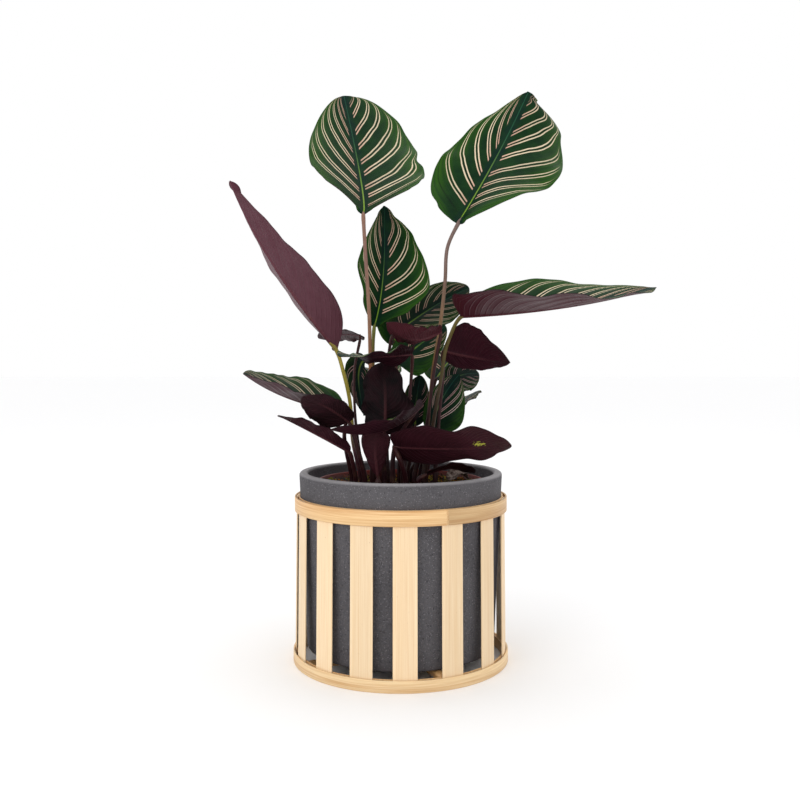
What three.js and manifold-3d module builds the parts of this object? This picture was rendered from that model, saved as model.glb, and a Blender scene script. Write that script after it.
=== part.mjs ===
// A pinstripe calathea in its grow pot, standing in a speckled grey planter
// inside a round bamboo basket. Millimetres, +Z up. The origin is on the
// surface the basket stands on, under the middle of the planter.

import * as THREE from 'three';
import { mergeVertices } from 'three/addons/utils/BufferGeometryUtils.js';
import Module from 'manifold-3d';

const wasm = await Module();
wasm.setup();

// Driving dimensions
const CONTACT_GAP = 0.3;
const ROUND_STEPS = 52;

const PLANTER_RIM_Z = 162.7;
const PLANTER_RIM_RADIUS = 87.5;
const PLANTER_FOOT_RADIUS = 81.5;
const PLANTER_WALL = 7.5;
const PLANTER_FLOOR = 9;
const PLANTER_EDGE = 1.6;
const PLANTER_FOOT_BEVEL = 6;
const PLANTER_BORE_FILLET = 3;
const PLANTER_STEPS = 44;

const GROW_POT_RIM_Z = 155.5;
const GROW_POT_RIM_RADIUS = 72;
const GROW_POT_LIP = 9;
const GROW_POT_TOP_RADIUS = 69;
const GROW_POT_FOOT_RADIUS = 52;
const GROW_POT_WALL = 1.4;
const GROW_POT_STEPS = 36;
const DRAIN_HOLES = 4;
const DRAIN_HOLE_RADIUS = 5;
const DRAIN_HOLE_SPREAD = 34;
const DRAIN_HOLE_SIDES = 8;

const SOIL_Z = 149;
const SOIL_SWELL = 2.2;
const SOIL_FOOT_SLACK = 0.5;
const SOIL_SIDE_SLACK = 0.2;
const SOIL_SHOULDER = 0.8;
const SOIL_EDGE_WIDTH = 3;
const SOIL_EDGE_DROP = 1;
const HEAP_FOOT_RADIUS = 42;
const HEAP_TOP_RADIUS = 22;
const ROOTED_Z = 142;

const SLAT_ANGLES = [
  2.2, 27.1, 51.8, 76, 100.3, 124.6, 148.9, 173.2, 197.5, 221.8, 246.1, 270.3, 294, 317, 339.8,
];
const SLAT_WIDTH = 18.4;
const SLAT_WIDTH_VARIES = 0.9;
const SLAT_WIDTH_STEP = 1.3;
const SLAT_END_INSET = 0.6;
const SLAT_THICKNESS = 1.3;
const STRIP_THICKNESS = 1.5;
const TOP_HOOP_RADIUS = 91.8;
const TOP_HOOP_FOOT_Z = 130.1;
const TOP_HOOP_TOP_Z = 142.3;
const BOTTOM_HOOP_RADIUS = 93.5;
const BOTTOM_HOOP_TOP_Z = 9.8;

const BASE_BAR_WIDTH = 9;
const BASE_BAR_HEIGHT = 5.8;
const UPPER_BAR_ANGLE = 112.5;
const LOWER_BAR_ANGLE = 22.5;

const BLADE_THICKNESS = 0.7;
const BLADE_END_HALF_WIDTH = 0.9;
const FULL_RISE_WIDTH = 9;
const LARGE_HALF_WIDTH = 35;
const PLAIN_ROWS = 10;
const DENTED_ROWS = 22;
const LARGE_COLUMNS = 3;
const SMALL_COLUMNS = 2;
const WAVE_OFFSET = 0.3;
const MIDRIB_DEPTH = 1.3;
const PETIOLE_SIDES = 5;
const PETIOLE_GIRTH = [2.3, 1.45];
const PETIOLE_OVERLAP = 0.06;
const PETIOLE_END_SHARE = 0.5;
const CROWN_Z = 158;
const SHEATH_HEIGHT = 60;
const ROOT_HOLE_SIDES = 6;

const PLANTER_FOOT_Z = 2 * (BASE_BAR_HEIGHT + CONTACT_GAP);

// Finishes
const finish = (color, roughness, metalness = 0) =>
  new THREE.MeshStandardMaterial({ color, roughness, metalness, side: THREE.DoubleSide });
const bambooStrip = finish('#ecc48a', 0.5);
const bambooSlat = finish('#f6deb6', 0.55);
const concrete = finish('#5c5a5e', 0.92);
const terracottaPlastic = finish('#a4482f', 0.55);
const pottingSoil = finish('#3a2a1c', 1.0);
const leafGreen = finish('#23502c', 0.45);
const leafPurple = finish('#4b1f2c', 0.5);
const dryBrown = finish('#6b5348', 0.85);

// Closed geometry and solids
function toClosed(geometry) {
  const bare = new THREE.BufferGeometry();
  bare.setAttribute('position', geometry.getAttribute('position').clone());
  bare.setIndex(geometry.index ? geometry.index.clone() : null);
  const merged = mergeVertices(bare, 1e-3);
  const corners = merged.getAttribute('position');
  const kept = [];
  let volume = 0;
  const a = new THREE.Vector3();
  const b = new THREE.Vector3();
  const c = new THREE.Vector3();
  for (let i = 0; i < merged.index.count; i += 3) {
    const [p, q, r] = [0, 1, 2].map((k) => merged.index.getX(i + k));
    if (p === q || q === r || p === r) {
      continue;
    }
    kept.push(p, q, r);
    a.fromBufferAttribute(corners, p);
    b.fromBufferAttribute(corners, q);
    c.fromBufferAttribute(corners, r);
    volume += a.dot(b.cross(c));
  }
  merged.setIndex(volume < 0 ? kept.reverse() : kept);
  return merged;
}

function toSolid(geometry) {
  const closed = toClosed(geometry);
  return new wasm.Manifold(new wasm.Mesh({
    numProp: 3,
    vertProperties: new Float32Array(closed.getAttribute('position').array),
    triVerts: new Uint32Array(closed.index.array),
  }));
}

function toGeometry(solid) {
  const mesh = solid.getMesh();
  const geometry = new THREE.BufferGeometry();
  geometry.setAttribute('position', new THREE.BufferAttribute(new Float32Array(mesh.vertProperties), 3));
  geometry.setIndex(new THREE.BufferAttribute(new Uint32Array(mesh.triVerts), 1));
  return geometry;
}

const plant = new THREE.Group();

function place(name, geometry, material) {
  const mesh = new THREE.Mesh(geometry, material);
  mesh.name = name;
  plant.add(mesh);
  return mesh;
}

// A profile of [radius, height] points turned about the vertical axis
function turned(profile, steps) {
  const points = profile.map(([radius, height]) => new THREE.Vector2(radius, height));
  const geometry = new THREE.LatheGeometry(points, steps);
  geometry.rotateX(Math.PI / 2);
  return toClosed(geometry);
}

// Rings of equal point counts skinned into one closed body
function skinned(rings) {
  const sides = rings[0].length;
  const points = rings.flat();
  const faces = [];
  for (let i = 0; i < rings.length - 1; i += 1) {
    for (let j = 0; j < sides; j += 1) {
      const k = (j + 1) % sides;
      const near = i * sides;
      const far = near + sides;
      faces.push(near + j, near + k, far + j, near + k, far + k, far + j);
    }
  }
  const last = (rings.length - 1) * sides;
  for (let j = 1; j < sides - 1; j += 1) {
    faces.push(0, j + 1, j, last, last + j, last + j + 1);
  }
  const geometry = new THREE.BufferGeometry().setFromPoints(points);
  geometry.setIndex(faces);
  return geometry;
}

// Bamboo basket: thin slats held between an outer and an inner strip at each hoop
function hoop(outerRadius, footZ, topZ) {
  const inner = outerRadius - STRIP_THICKNESS;
  return turned([[outerRadius, footZ], [outerRadius, topZ], [inner, topZ], [inner, footZ],
    [outerRadius, footZ]], ROUND_STEPS);
}

const slatInset = STRIP_THICKNESS + CONTACT_GAP;
const innerHoopInset = slatInset + SLAT_THICKNESS + CONTACT_GAP;
place('top_hoop_outer', hoop(TOP_HOOP_RADIUS, TOP_HOOP_FOOT_Z, TOP_HOOP_TOP_Z), bambooStrip);
place('top_hoop_inner',
  hoop(TOP_HOOP_RADIUS - innerHoopInset, TOP_HOOP_FOOT_Z, TOP_HOOP_TOP_Z), bambooStrip);
place('bottom_hoop_outer', hoop(BOTTOM_HOOP_RADIUS, 0, BOTTOM_HOOP_TOP_Z), bambooStrip);
place('bottom_hoop_inner', hoop(BOTTOM_HOOP_RADIUS - innerHoopInset, 0, BOTTOM_HOOP_TOP_Z), bambooStrip);

// A slat follows the hoops' curve across its width and leans out towards the foot
function slat(width) {
  const turns = [-1, -0.5, 0, 0.5, 1];
  const footRadius = BOTTOM_HOOP_RADIUS - slatInset;
  const topRadius = TOP_HOOP_RADIUS - slatInset;
  const halfTurn = width / 2 / topRadius;
  const ringAt = (radius, z) => {
    const at = (r, turn) => {
      const angle = turn * halfTurn;
      return new THREE.Vector3(r * Math.sin(angle), -r * Math.cos(angle), z);
    };
    const outer = turns.map((turn) => at(radius, turn));
    const inner = turns.map((turn) => at(radius - SLAT_THICKNESS, turn)).reverse();
    return [...outer, ...inner];
  };
  const rings = [ringAt(footRadius, SLAT_END_INSET), ringAt(topRadius, TOP_HOOP_TOP_Z - SLAT_END_INSET)];
  return toClosed(skinned(rings));
}

SLAT_ANGLES.forEach((angle, i) => {
  const width = SLAT_WIDTH + SLAT_WIDTH_VARIES * Math.cos(i * SLAT_WIDTH_STEP);
  const piece = place(`slat_${String(i + 1).padStart(2, '0')}`, slat(width), bambooSlat);
  piece.rotation.z = THREE.MathUtils.degToRad(angle);
});

// Two flat bars cross under the planter, one on the other, end to end of the foot hoop
function baseBar(angle, footZ) {
  const length = 2 * (BOTTOM_HOOP_RADIUS - innerHoopInset - STRIP_THICKNESS - 2 * CONTACT_GAP);
  const geometry = new THREE.BoxGeometry(length, BASE_BAR_WIDTH, BASE_BAR_HEIGHT);
  geometry.translate(0, 0, footZ + BASE_BAR_HEIGHT / 2);
  geometry.rotateZ(THREE.MathUtils.degToRad(angle));
  return toClosed(geometry);
}
place('base_bar_lower', baseBar(LOWER_BAR_ANGLE, 0), bambooStrip);
place('base_bar_upper', baseBar(UPPER_BAR_ANGLE, BASE_BAR_HEIGHT + CONTACT_GAP), bambooStrip);

// Planter: a tapered cup with a softly rounded rim and foot
const planterBore = PLANTER_RIM_RADIUS - PLANTER_WALL;
const planterFootBore = PLANTER_FOOT_RADIUS - PLANTER_WALL;
place('planter', turned([
  [0, PLANTER_FOOT_Z],
  [PLANTER_FOOT_RADIUS - PLANTER_FOOT_BEVEL, PLANTER_FOOT_Z],
  [PLANTER_FOOT_RADIUS - PLANTER_EDGE, PLANTER_FOOT_Z + PLANTER_EDGE],
  [PLANTER_FOOT_RADIUS, PLANTER_FOOT_Z + 6],
  [PLANTER_RIM_RADIUS, PLANTER_RIM_Z - PLANTER_EDGE],
  [PLANTER_RIM_RADIUS - PLANTER_EDGE, PLANTER_RIM_Z],
  [planterBore + PLANTER_EDGE, PLANTER_RIM_Z],
  [planterBore, PLANTER_RIM_Z - PLANTER_EDGE],
  [planterFootBore, PLANTER_FOOT_Z + PLANTER_FLOOR + PLANTER_BORE_FILLET],
  [planterFootBore - PLANTER_BORE_FILLET, PLANTER_FOOT_Z + PLANTER_FLOOR],
  [0, PLANTER_FOOT_Z + PLANTER_FLOOR],
], PLANTER_STEPS), concrete);

// Grow pot: thin red plastic with a turned-out lip and drain holes in its floor
const growPotFootZ = PLANTER_FOOT_Z + PLANTER_FLOOR + CONTACT_GAP;
const growPotLipZ = GROW_POT_RIM_Z - GROW_POT_LIP;
let growPot = toSolid(turned([
  [0, growPotFootZ],
  [GROW_POT_FOOT_RADIUS, growPotFootZ],
  [GROW_POT_TOP_RADIUS, growPotLipZ],
  [GROW_POT_RIM_RADIUS, growPotLipZ],
  [GROW_POT_RIM_RADIUS, GROW_POT_RIM_Z],
  [GROW_POT_RIM_RADIUS - GROW_POT_WALL, GROW_POT_RIM_Z],
  [GROW_POT_TOP_RADIUS - GROW_POT_WALL, growPotLipZ],
  [GROW_POT_FOOT_RADIUS - GROW_POT_WALL, growPotFootZ + GROW_POT_WALL],
  [0, growPotFootZ + GROW_POT_WALL],
], GROW_POT_STEPS));

function drainHole(index) {
  const depth = 4 * GROW_POT_WALL;
  const bore = new THREE.CylinderGeometry(DRAIN_HOLE_RADIUS, DRAIN_HOLE_RADIUS, depth, DRAIN_HOLE_SIDES);
  bore.rotateX(Math.PI / 2);
  const turn = (index + 0.5) * (2 * Math.PI / DRAIN_HOLES);
  bore.translate(DRAIN_HOLE_SPREAD * Math.cos(turn), DRAIN_HOLE_SPREAD * Math.sin(turn), growPotFootZ);
  return toSolid(bore);
}
for (let i = 0; i < DRAIN_HOLES; i += 1) {
  growPot = growPot.subtract(drainHole(i));
}
place('grow_pot', toGeometry(growPot), terracottaPlastic);

// Leaves. Each has a midrib from base through mid to tip, and the way its upper
// side faces at both ends. A half has its width, its rise from the face at base
// and tip in degrees, its further curl, and the roundness of its base and tip.
// The wave is its height, its count along the blade and its start. A dent is its
// side, its place along the midrib, its depth as a share of the width, negative
// for a lobe, and its spread. The petiole runs from the soil up to the base, and
// its girth is its radius at foot and top.
const leaves = [
  { name: 'leaf_top_left', rib: [[-32, -2, 384], [-36.5, 46, 424], [-54, 92, 510]],
    face: [[-0.1, -0.75, 0.65], [0.05, -0.8, 0.55]],
    left: [50.5, 52, 10, 0, 0.55, 0.6], right: [58, 25, -15, 0, 0.28, 0.3], wave: [1.5, 3, 0.2],
    dents: [[1, 0.86, -0.04, 0.05], [1, 0.56, 0.07, 0.05], [1, 0.14, 0.05, 0.03], [1, 0.04, 0.12, 0.03]],
    petiole: [[-24, -4], [-25, -4, 205], [-26, -5, 250], [-27, -9, 300], [-30, -10, 350]],
    girth: [2.8, 1.6] },
  { name: 'leaf_top_right', rib: [[49, -6, 375], [84.5, 26, 437.5], [114, 36, 498]],
    face: [[-0.1, -0.9, 0.45], [-0.05, -0.95, 0.3]],
    left: [43, 16, -10, 0, 0.4, 0.9], right: [59, 65, -30, -40, 0.5, 0.35], wave: [2.4, 3, 0.26],
    dents: [[1, 0.978, 0.5, 0.018], [1, 0.91, -0.14, 0.05], [-1, 0.05, 0.1, 0.02]],
    petiole: [[21, 3], [24, 5, 205], [28, 4, 248], [34, -1, 288], [38, -5, 326], [40, -6, 355]],
    girth: [2.8, 1.6] },
  { name: 'leaf_middle', rib: [[-23, 8, 288], [-15.8, 33, 335], [-15, 42, 398]],
    face: [[-0.1, -0.95, 0.3], [0.1, -0.95, 0.25]],
    left: [37, 62, 42, 0, 0.5, 0.85], right: [45, 30, -8, 0, 0.35, 0.75], wave: [1.5, 3, 0],
    dents: [[-1, 0.22, 0.3, 0.16], [1, 0.15, 0.17, 0.1], [1, 0.02, 0.5, 0.04], [1, 0.83, -0.1, 0.05],
      [1, 0.94, 0.2, 0.03]],
    petiole: [[-17, 8], [-20, 8, 210], [-24, 7, 255]] },
  { name: 'leaf_high_left', rib: [[-54, -22, 267], [-101, -60, 334], [-136, -58, 401]],
    face: [[0.25, 0.9, 0.4], [0.15, 0.75, 0.65]],
    left: [46, 80, 95, 0, 0.25, 0.8], right: [44, 55, 55, 0, 0.4, 0.7], wave: [1.5, 3, 0],
    petiole: [[-33, -14], [-40, -18, 190], [-43, -21, 225], [-48, -22, 248]], girth: [2.8, 1.6] },
  { name: 'leaf_long_right', rib: [[52, -6, 296], [140, -28, 303.4], [215, -18, 320]],
    face: [[0, -0.2, 1], [-0.05, -0.05, 1]],
    left: [47, 38, 14, 0, 0.4, 0.7], right: [54, 33, -4, 0, 0.28, 0.85], wave: [2.2, 3.4, 0.27],
    waveLeft: [1, 2, 0.45], dents: [[1, 0.03, -0.2, 0.03]],
    petiole: [[20, -8], [28, -9, 205], [35, -11, 246], [39, -11, 270]], girth: [2.8, 1.6] },
  { name: 'leaf_low_left', rib: [[-46, -27, 216], [-91, -42, 227.5], [-126, -60, 248]],
    face: [[0, -0.15, 1], [0, -0.2, 1]],
    left: [36, 26, 16, 0, 0.36, 0.62], right: [46, 18, 18, 0, 0.3, 0.68], wave: [1.2, 3, 0],
    dents: [[1, 0.66, 0.15, 0.1], [-1, 0.42, 0.25, 0.1]],
    petiole: [[-42, -5], [-48, -14, 192]] },
  { name: 'leaf_lobe_left', rib: [[-43, -38, 208], [-59, -68, 222], [-75, -96, 231]],
    face: [[0, 0.8, 0.6], [0, 0.8, 0.6]],
    left: [13, 0, 3, 0, 0.4, 0.55], right: [19, -8, 4, 0, 0.3, 0.7], wave: [1, 3, 0],
    petiole: [[-30, -24], [-36, -31, 185]] },
  { name: 'leaf_narrow_left', rib: [[-43, -34, 183], [-71, -58, 201], [-95, -84, 216]],
    face: [[0, 0.3, 0.95], [0, 0.3, 0.95]],
    left: [12, 18, 16, 0, 0.47, 0.7], right: [16, 30, 30, 0, 0.5, 0.7], wave: [1, 3, 0],
    petiole: [[-38, -22], [-40, -28, 172]], girth: [1.9, 1.2] },
  { name: 'leaf_front_droop', rib: [[18, -24, 221], [-16, -50, 201], [-55, -80, 205]],
    face: [[-0.15, 0.5, 0.85], [0, 0.2, 1]],
    left: [30, 4, 14, 0, 0.42, 0.45], right: [14, 40, 30, 0, 0.5, 0.6], wave: [1.5, 3, 0],
    petiole: [[-7, -21], [-5, -23, 185], [6, -24, 207]] },
  { name: 'leaf_low_right', rib: [[-5, -34, 187], [44, -60, 188], [86, -83, 193]],
    face: [[0, 0.7, 0.71], [0.04, 0.66, 0.75]],
    left: [20, -4, 0, 0, 0.1, 0.5], right: [29, 0, 0, 0, 0.24, 0.35], wave: [2, 2, 0.3],
    dents: [[1, 0.78, -0.14, 0.1], [1, 0.57, 0.08, 0.06], [1, 0.94, 0.14, 0.04], [-1, 0.84, 0.18, 0.04],
      [-1, 0.7, -0.08, 0.06]],
    petiole: [[4, -25], [1, -31, 172]] },
  { name: 'leaf_mid_right', rib: [[37, 10, 267], [64, 1, 261], [92, -21, 257]],
    face: [[0, 0.92, 0.4], [0, 0.8, 0.6]],
    left: [13, 0, 0, 0, 0.4, 0.7], right: [31, 4, 6, 0, 0.42, 0.58], wave: [1, 3, 0],
    petiole: [[30, -3], [33, 1, 205], [37, 4, 248]] },
  { name: 'leaf_behind_middle', rib: [[-7, 34, 281], [32, 60, 309], [64, 66, 326]],
    face: [[-0.03, -0.88, 0.48], [-0.03, -0.84, 0.54]],
    left: [25, 3, -8, 0, 0.43, 0.62], right: [27, 10, 20, 0, 0.54, 0.6], wave: [1, 3, 0],
    petiole: [[-12, 21], [-13, 25, 200], [-12, 30, 250]] },
  { name: 'leaf_crimson', rib: [[34, -15, 283], [8, -36, 276], [-11, -55, 289]],
    face: [[0.04, 0.58, 0.81], [0, 0.57, 0.82]],
    left: [19, 4, 5, 0, 0.38, 0.48], right: [8, 4, 2, 0, 0.4, 0.62], wave: [1, 4, 0],
    petiole: [[12, -2], [23, -4, 205], [28, -6, 245], [31, -9, 264]] },
  { name: 'leaf_dark_front', rib: [[9, -22, 264], [-18, -41, 262], [-49, -64, 262]],
    face: [[0, 0.55, 0.84], [0, -0.3, 1]],
    left: [22, 4, 12, 0, 0.4, 0.5], right: [24, -7, 8, 0, 0.38, 0.5], wave: [2.2, 3, 0.1],
    petiole: [[2, -9], [6, -9, 210], [9, -12, 244]] },
  { name: 'leaf_narrow_behind', rib: [[-36, 26, 281], [-54, 44, 282], [-76, 60, 279]],
    face: [[0, 0.45, 0.9], [0, 0.45, 0.9]],
    left: [16, 0, 0, 0, 0.5, 0.6], right: [16, 0, 0, 0, 0.5, 0.6], wave: [1, 3, 0],
    petiole: [[-34, 12], [-40, 18, 205], [-41, 22, 250]], girth: [1.9, 1.2] },
  { name: 'leaf_hanging', rib: [[-32, 36, 259], [-38.5, 45, 243], [-33, 43, 208]],
    face: [[-0.2, -0.9, 0.3], [0, -1, 0]],
    left: [9, 10, 10, 0, 0.5, 0.8], right: [13, 10, 10, 0, 0.45, 0.9], wave: [1, 3, 0],
    petiole: [[-24, 24], [-22, 31, 205], [-25, 36, 250]] },
  { name: 'leaf_striped_centre', rib: [[-3, 12, 256], [11, 15, 268], [40, 22, 289]],
    face: [[0, -0.93, 0.37], [0, -0.93, 0.37]],
    left: [16, 10, 10, 0, 0.5, 0.6], right: [23, 0, 0, 0, 0.36, 0.58], wave: [1, 3, 0],
    petiole: [[0, 11], [-3, 10, 205], [-5, 10, 235]] },
  { name: 'leaf_upright_right', rib: [[27, 14, 195], [35, 17, 221], [52, 23, 246]],
    face: [[0, -0.98, 0.2], [0, -0.98, 0.2]],
    left: [12, 10, 10, 0, 0.5, 0.6], right: [25, 9, 9, 0, 0.37, 0.68], wave: [1, 3, 0],
    petiole: [[22, 15], [26, 14, 175]] },
  { name: 'leaf_behind_right', rib: [[37, 26, 236], [55, 38, 245], [72, 50, 246]],
    face: [[0, -0.8, 0.6], [0, -0.85, 0.5]],
    left: [14, 0, 0, 0, 0.5, 0.6], right: [18, 0, 0, 0, 0.4, 0.6], wave: [1, 3, 0],
    petiole: [[18, 24], [24, 24, 190], [31, 25, 218]] },
  { name: 'leaf_small_behind', rib: [[44, 40, 210], [59, 60, 221], [73, 80, 229]],
    face: [[0, 0.4, 0.9], [0, 0.4, 0.9]],
    left: [15, 0, 0, 0, 0.5, 0.6], right: [15, 0, 0, 0, 0.5, 0.6], wave: [1, 3, 0],
    petiole: [[9, 31], [22, 34, 178], [35, 37, 200]], girth: [1.9, 1.2] },
  { name: 'leaf_core_small', rib: [[13, 20, 200], [14, 25, 222], [18, 29, 245]],
    face: [[0, -0.98, 0.2], [0, -0.98, 0.2]],
    left: [12, 10, 10, 0, 0.5, 0.6], right: [12, 10, 10, 0, 0.5, 0.6], wave: [0.5, 3, 0],
    petiole: [[6, 18], [10, 18, 180]], girth: [1.9, 1.2] },
  { name: 'leaf_core_dark', rib: [[-14, -17, 196], [-13, -18, 226], [-15, -11, 257]],
    face: [[0, 1, 0.1], [0, 1, 0.1]],
    left: [26, 8, 8, 0, 0.3, 0.6], right: [22, 8, 8, 0, 0.35, 0.4], wave: [1, 3, 0],
    dents: [[-1, 0.62, 0.3, 0.16], [-1, 0.3, -0.12, 0.1], [1, 0.55, 0.18, 0.14], [1, 0.25, 0.15, 0.08]],
    petiole: [[-14, -7], [-14, -9, 178]] },
  { name: 'leaf_low_dark', rib: [[22, -29, 163], [42, -25, 168], [63, -15, 163]],
    face: [[0, 0.3, 0.95], [0, 0.3, 0.95]],
    left: [13, 6, 6, 0, 0.5, 0.6], right: [14, 6, 6, 0, 0.5, 0.6], wave: [0.8, 2, 0],
    petiole: [[15, -27]], girth: [1.9, 1.2] },
  { name: 'leaf_back_tall', rib: [[-6, 56, 272], [-1, 86, 332], [-4, 122, 388]],
    face: [[0, -0.75, 0.65], [0, -0.75, 0.65]],
    left: [24, 10, 5, 0, 0.45, 0.65], right: [24, 10, 5, 0, 0.4, 0.6], wave: [1.2, 3, 0.4],
    petiole: [[-1, 33], [-1, 42, 205], [-4, 52, 245]] },
  { name: 'leaf_back_right', rib: [[32, 50, 240], [58, 92, 268], [80, 130, 270]],
    face: [[-0.1, -0.1, 1], [0.05, 0.05, 1]],
    left: [26, 12, 4, 0, 0.45, 0.65], right: [26, 8, 2, 0, 0.4, 0.6], wave: [1.2, 3, 0.1],
    petiole: [[20, 38], [24, 44, 190], [28, 47, 220]] },
  { name: 'leaf_back_middle', rib: [[-20, 50, 235], [-25, 88, 250], [-28, 128, 240]],
    face: [[0, -0.1, 1], [0, 0.2, 1]],
    left: [26, 10, 4, 0, 0.45, 0.65], right: [25, 10, 2, 0, 0.4, 0.6], wave: [1.2, 3, 0.6],
    petiole: [[-12, 42], [-18, 46, 190], [-20, 49, 215]] },
  { name: 'leaf_back_low', rib: [[12, 52, 202], [22, 90, 217], [30, 126, 209]],
    face: [[0, -0.1, 1], [0, 0.2, 1]],
    left: [22, 10, 4, 0, 0.45, 0.65], right: [22, 10, 2, 0, 0.4, 0.6], wave: [1.2, 3, 0.3],
    petiole: [[6, 43], [9, 48, 180]] },
  { name: 'leaf_young_sheath', rib: [[-19, -32, 161], [-21, -34, 181], [-21, -35, 199]],
    face: [[0, 0.95, 0.1], [0, 0.95, 0.1]],
    left: [14, 10, 10, 30, 0.9, 0.24], right: [13, 10, 10, 30, 0.9, 0.24], wave: [0.6, 2, 0],
    petiole: [[-19, -31.5]] },
  { name: 'leaf_dry', rib: [[42, 12, 153], [52, 18, 158], [60, 23, 153]],
    face: [[0.2, -0.2, 0.95], [0.2, -0.2, 0.95]],
    left: [8, 10, 10, 40, 0.5, 0.6], right: [8, 10, 10, 40, 0.5, 0.6], wave: [0.6, 3, 0] },
];

// The midrib at t, with the blade's own directions there
function bladeRib(leaf, t) {
  const [base, mid, tip] = leaf.rib.map((point) => new THREE.Vector3(...point));
  const bend = mid.clone().multiplyScalar(2).sub(base.clone().add(tip).multiplyScalar(0.5));
  const point = new THREE.QuadraticBezierCurve3(base, bend, tip).getPoint(t);
  const along = bend.clone().sub(base).lerp(tip.clone().sub(bend), t).normalize();
  const [baseFace, tipFace] = leaf.face.map((vector) => new THREE.Vector3(...vector).normalize());
  const up = baseFace.lerp(tipFace, t);
  up.addScaledVector(along, -up.dot(along)).normalize();
  const across = new THREE.Vector3().crossVectors(along, up);
  return { point, along, up, across };
}

// The width of one half at t along the midrib
function bladeWidth(leaf, side, t) {
  const [halfWidth, , , , baseRound, tipRound] = side < 0 ? leaf.left : leaf.right;
  const widest = baseRound / (baseRound + tipRound);
  const peak = widest ** baseRound * (1 - widest) ** tipRound;
  let width = halfWidth * t ** baseRound * (1 - t) ** tipRound / peak;
  for (const [dentSide, at, depth, spread] of leaf.dents ?? []) {
    width *= dentSide === side ? 1 - depth * Math.exp(-(((t - at) / spread) ** 2)) : 1;
  }
  return Math.max(width, BLADE_END_HALF_WIDTH);
}

// One half of a blade: the point at t along the midrib and u out towards the edge
function bladePoint(leaf, side, t, u) {
  const { point, up, across } = bladeRib(leaf, t);
  const half = side < 0 ? leaf.left : leaf.right;
  const [, baseRise, tipRise, curlDegrees] = half;
  const width = bladeWidth(leaf, side, t);
  const settled = Math.min(1, width / FULL_RISE_WIDTH);
  const rise = THREE.MathUtils.degToRad(baseRise + (tipRise - baseRise) * t) * settled;
  const curl = THREE.MathUtils.degToRad(Math.abs(curlDegrees) < 0.1 ? 0.1 : curlDegrees) * settled;
  const out = (Math.sin(rise + curl * u) - Math.sin(rise)) / curl;
  const lift = (Math.cos(rise) - Math.cos(rise + curl * u)) / curl;
  const [height, count, start] = side < 0 && leaf.waveLeft ? leaf.waveLeft : leaf.wave;
  const phase = count * t + start + (side > 0 ? WAVE_OFFSET : 0);
  const wave = height * Math.sin(2 * Math.PI * phase) * u * u * Math.sqrt(Math.sin(Math.PI * t));
  point.addScaledVector(across, side * width * out).addScaledVector(up, width * lift + wave);
  const turn = rise + curl * u;
  const skin = up.clone().multiplyScalar(Math.cos(turn)).addScaledVector(across, -side * Math.sin(turn));
  return { point, skin };
}

// The blade is a thin closed sheet, with the midrib as a low keel on its underside
function blade(leaf, rows, columns) {
  const rings = [];
  for (let i = 0; i <= rows; i += 1) {
    const t = (1 - Math.cos(Math.PI * i / rows)) / 2;
    const upper = [];
    const lower = [];
    for (let j = -columns; j <= columns; j += 1) {
      const { point, skin } = bladePoint(leaf, j < 0 ? -1 : 1, t, Math.abs(j) / columns);
      const { up } = bladeRib(leaf, t);
      const away = j === 0 ? up : skin;
      const keel = j === 0 ? MIDRIB_DEPTH * (1 - t) : 0;
      upper.push(point.clone().addScaledVector(away, BLADE_THICKNESS / 2));
      lower.push(point.clone().addScaledVector(away, -BLADE_THICKNESS / 2 - keel));
    }
    rings.push([upper, lower]);
  }
  return sheet(rings);
}

// Two faces split into triangles alike, closed all round the edge
function sheet(rings) {
  const across = rings[0][0].length;
  const points = rings.flatMap(([upper, lower]) => [...upper, ...lower]);
  const upperAt = (i, j) => i * 2 * across + j;
  const lowerAt = (i, j) => upperAt(i, j) + across;
  const faces = [];
  const wall = (a, b, c, d) => faces.push(a, b, c, a, c, d);
  const end = rings.length - 1;
  const edge = across - 1;
  for (let i = 0; i < end; i += 1) {
    for (let j = 0; j < edge; j += 1) {
      faces.push(upperAt(i, j), upperAt(i + 1, j + 1), upperAt(i + 1, j));
      faces.push(upperAt(i, j), upperAt(i, j + 1), upperAt(i + 1, j + 1));
      faces.push(lowerAt(i, j), lowerAt(i + 1, j), lowerAt(i + 1, j + 1));
      faces.push(lowerAt(i, j), lowerAt(i + 1, j + 1), lowerAt(i, j + 1));
    }
    wall(upperAt(i, 0), upperAt(i + 1, 0), lowerAt(i + 1, 0), lowerAt(i, 0));
    wall(lowerAt(i, edge), lowerAt(i + 1, edge), upperAt(i + 1, edge), upperAt(i, edge));
  }
  for (let j = 0; j < edge; j += 1) {
    wall(upperAt(0, j + 1), upperAt(0, j), lowerAt(0, j), lowerAt(0, j + 1));
    wall(upperAt(end, j), upperAt(end, j + 1), lowerAt(end, j + 1), lowerAt(end, j));
  }
  const geometry = new THREE.BufferGeometry().setFromPoints(points);
  geometry.setIndex(faces);
  return geometry;
}

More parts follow.
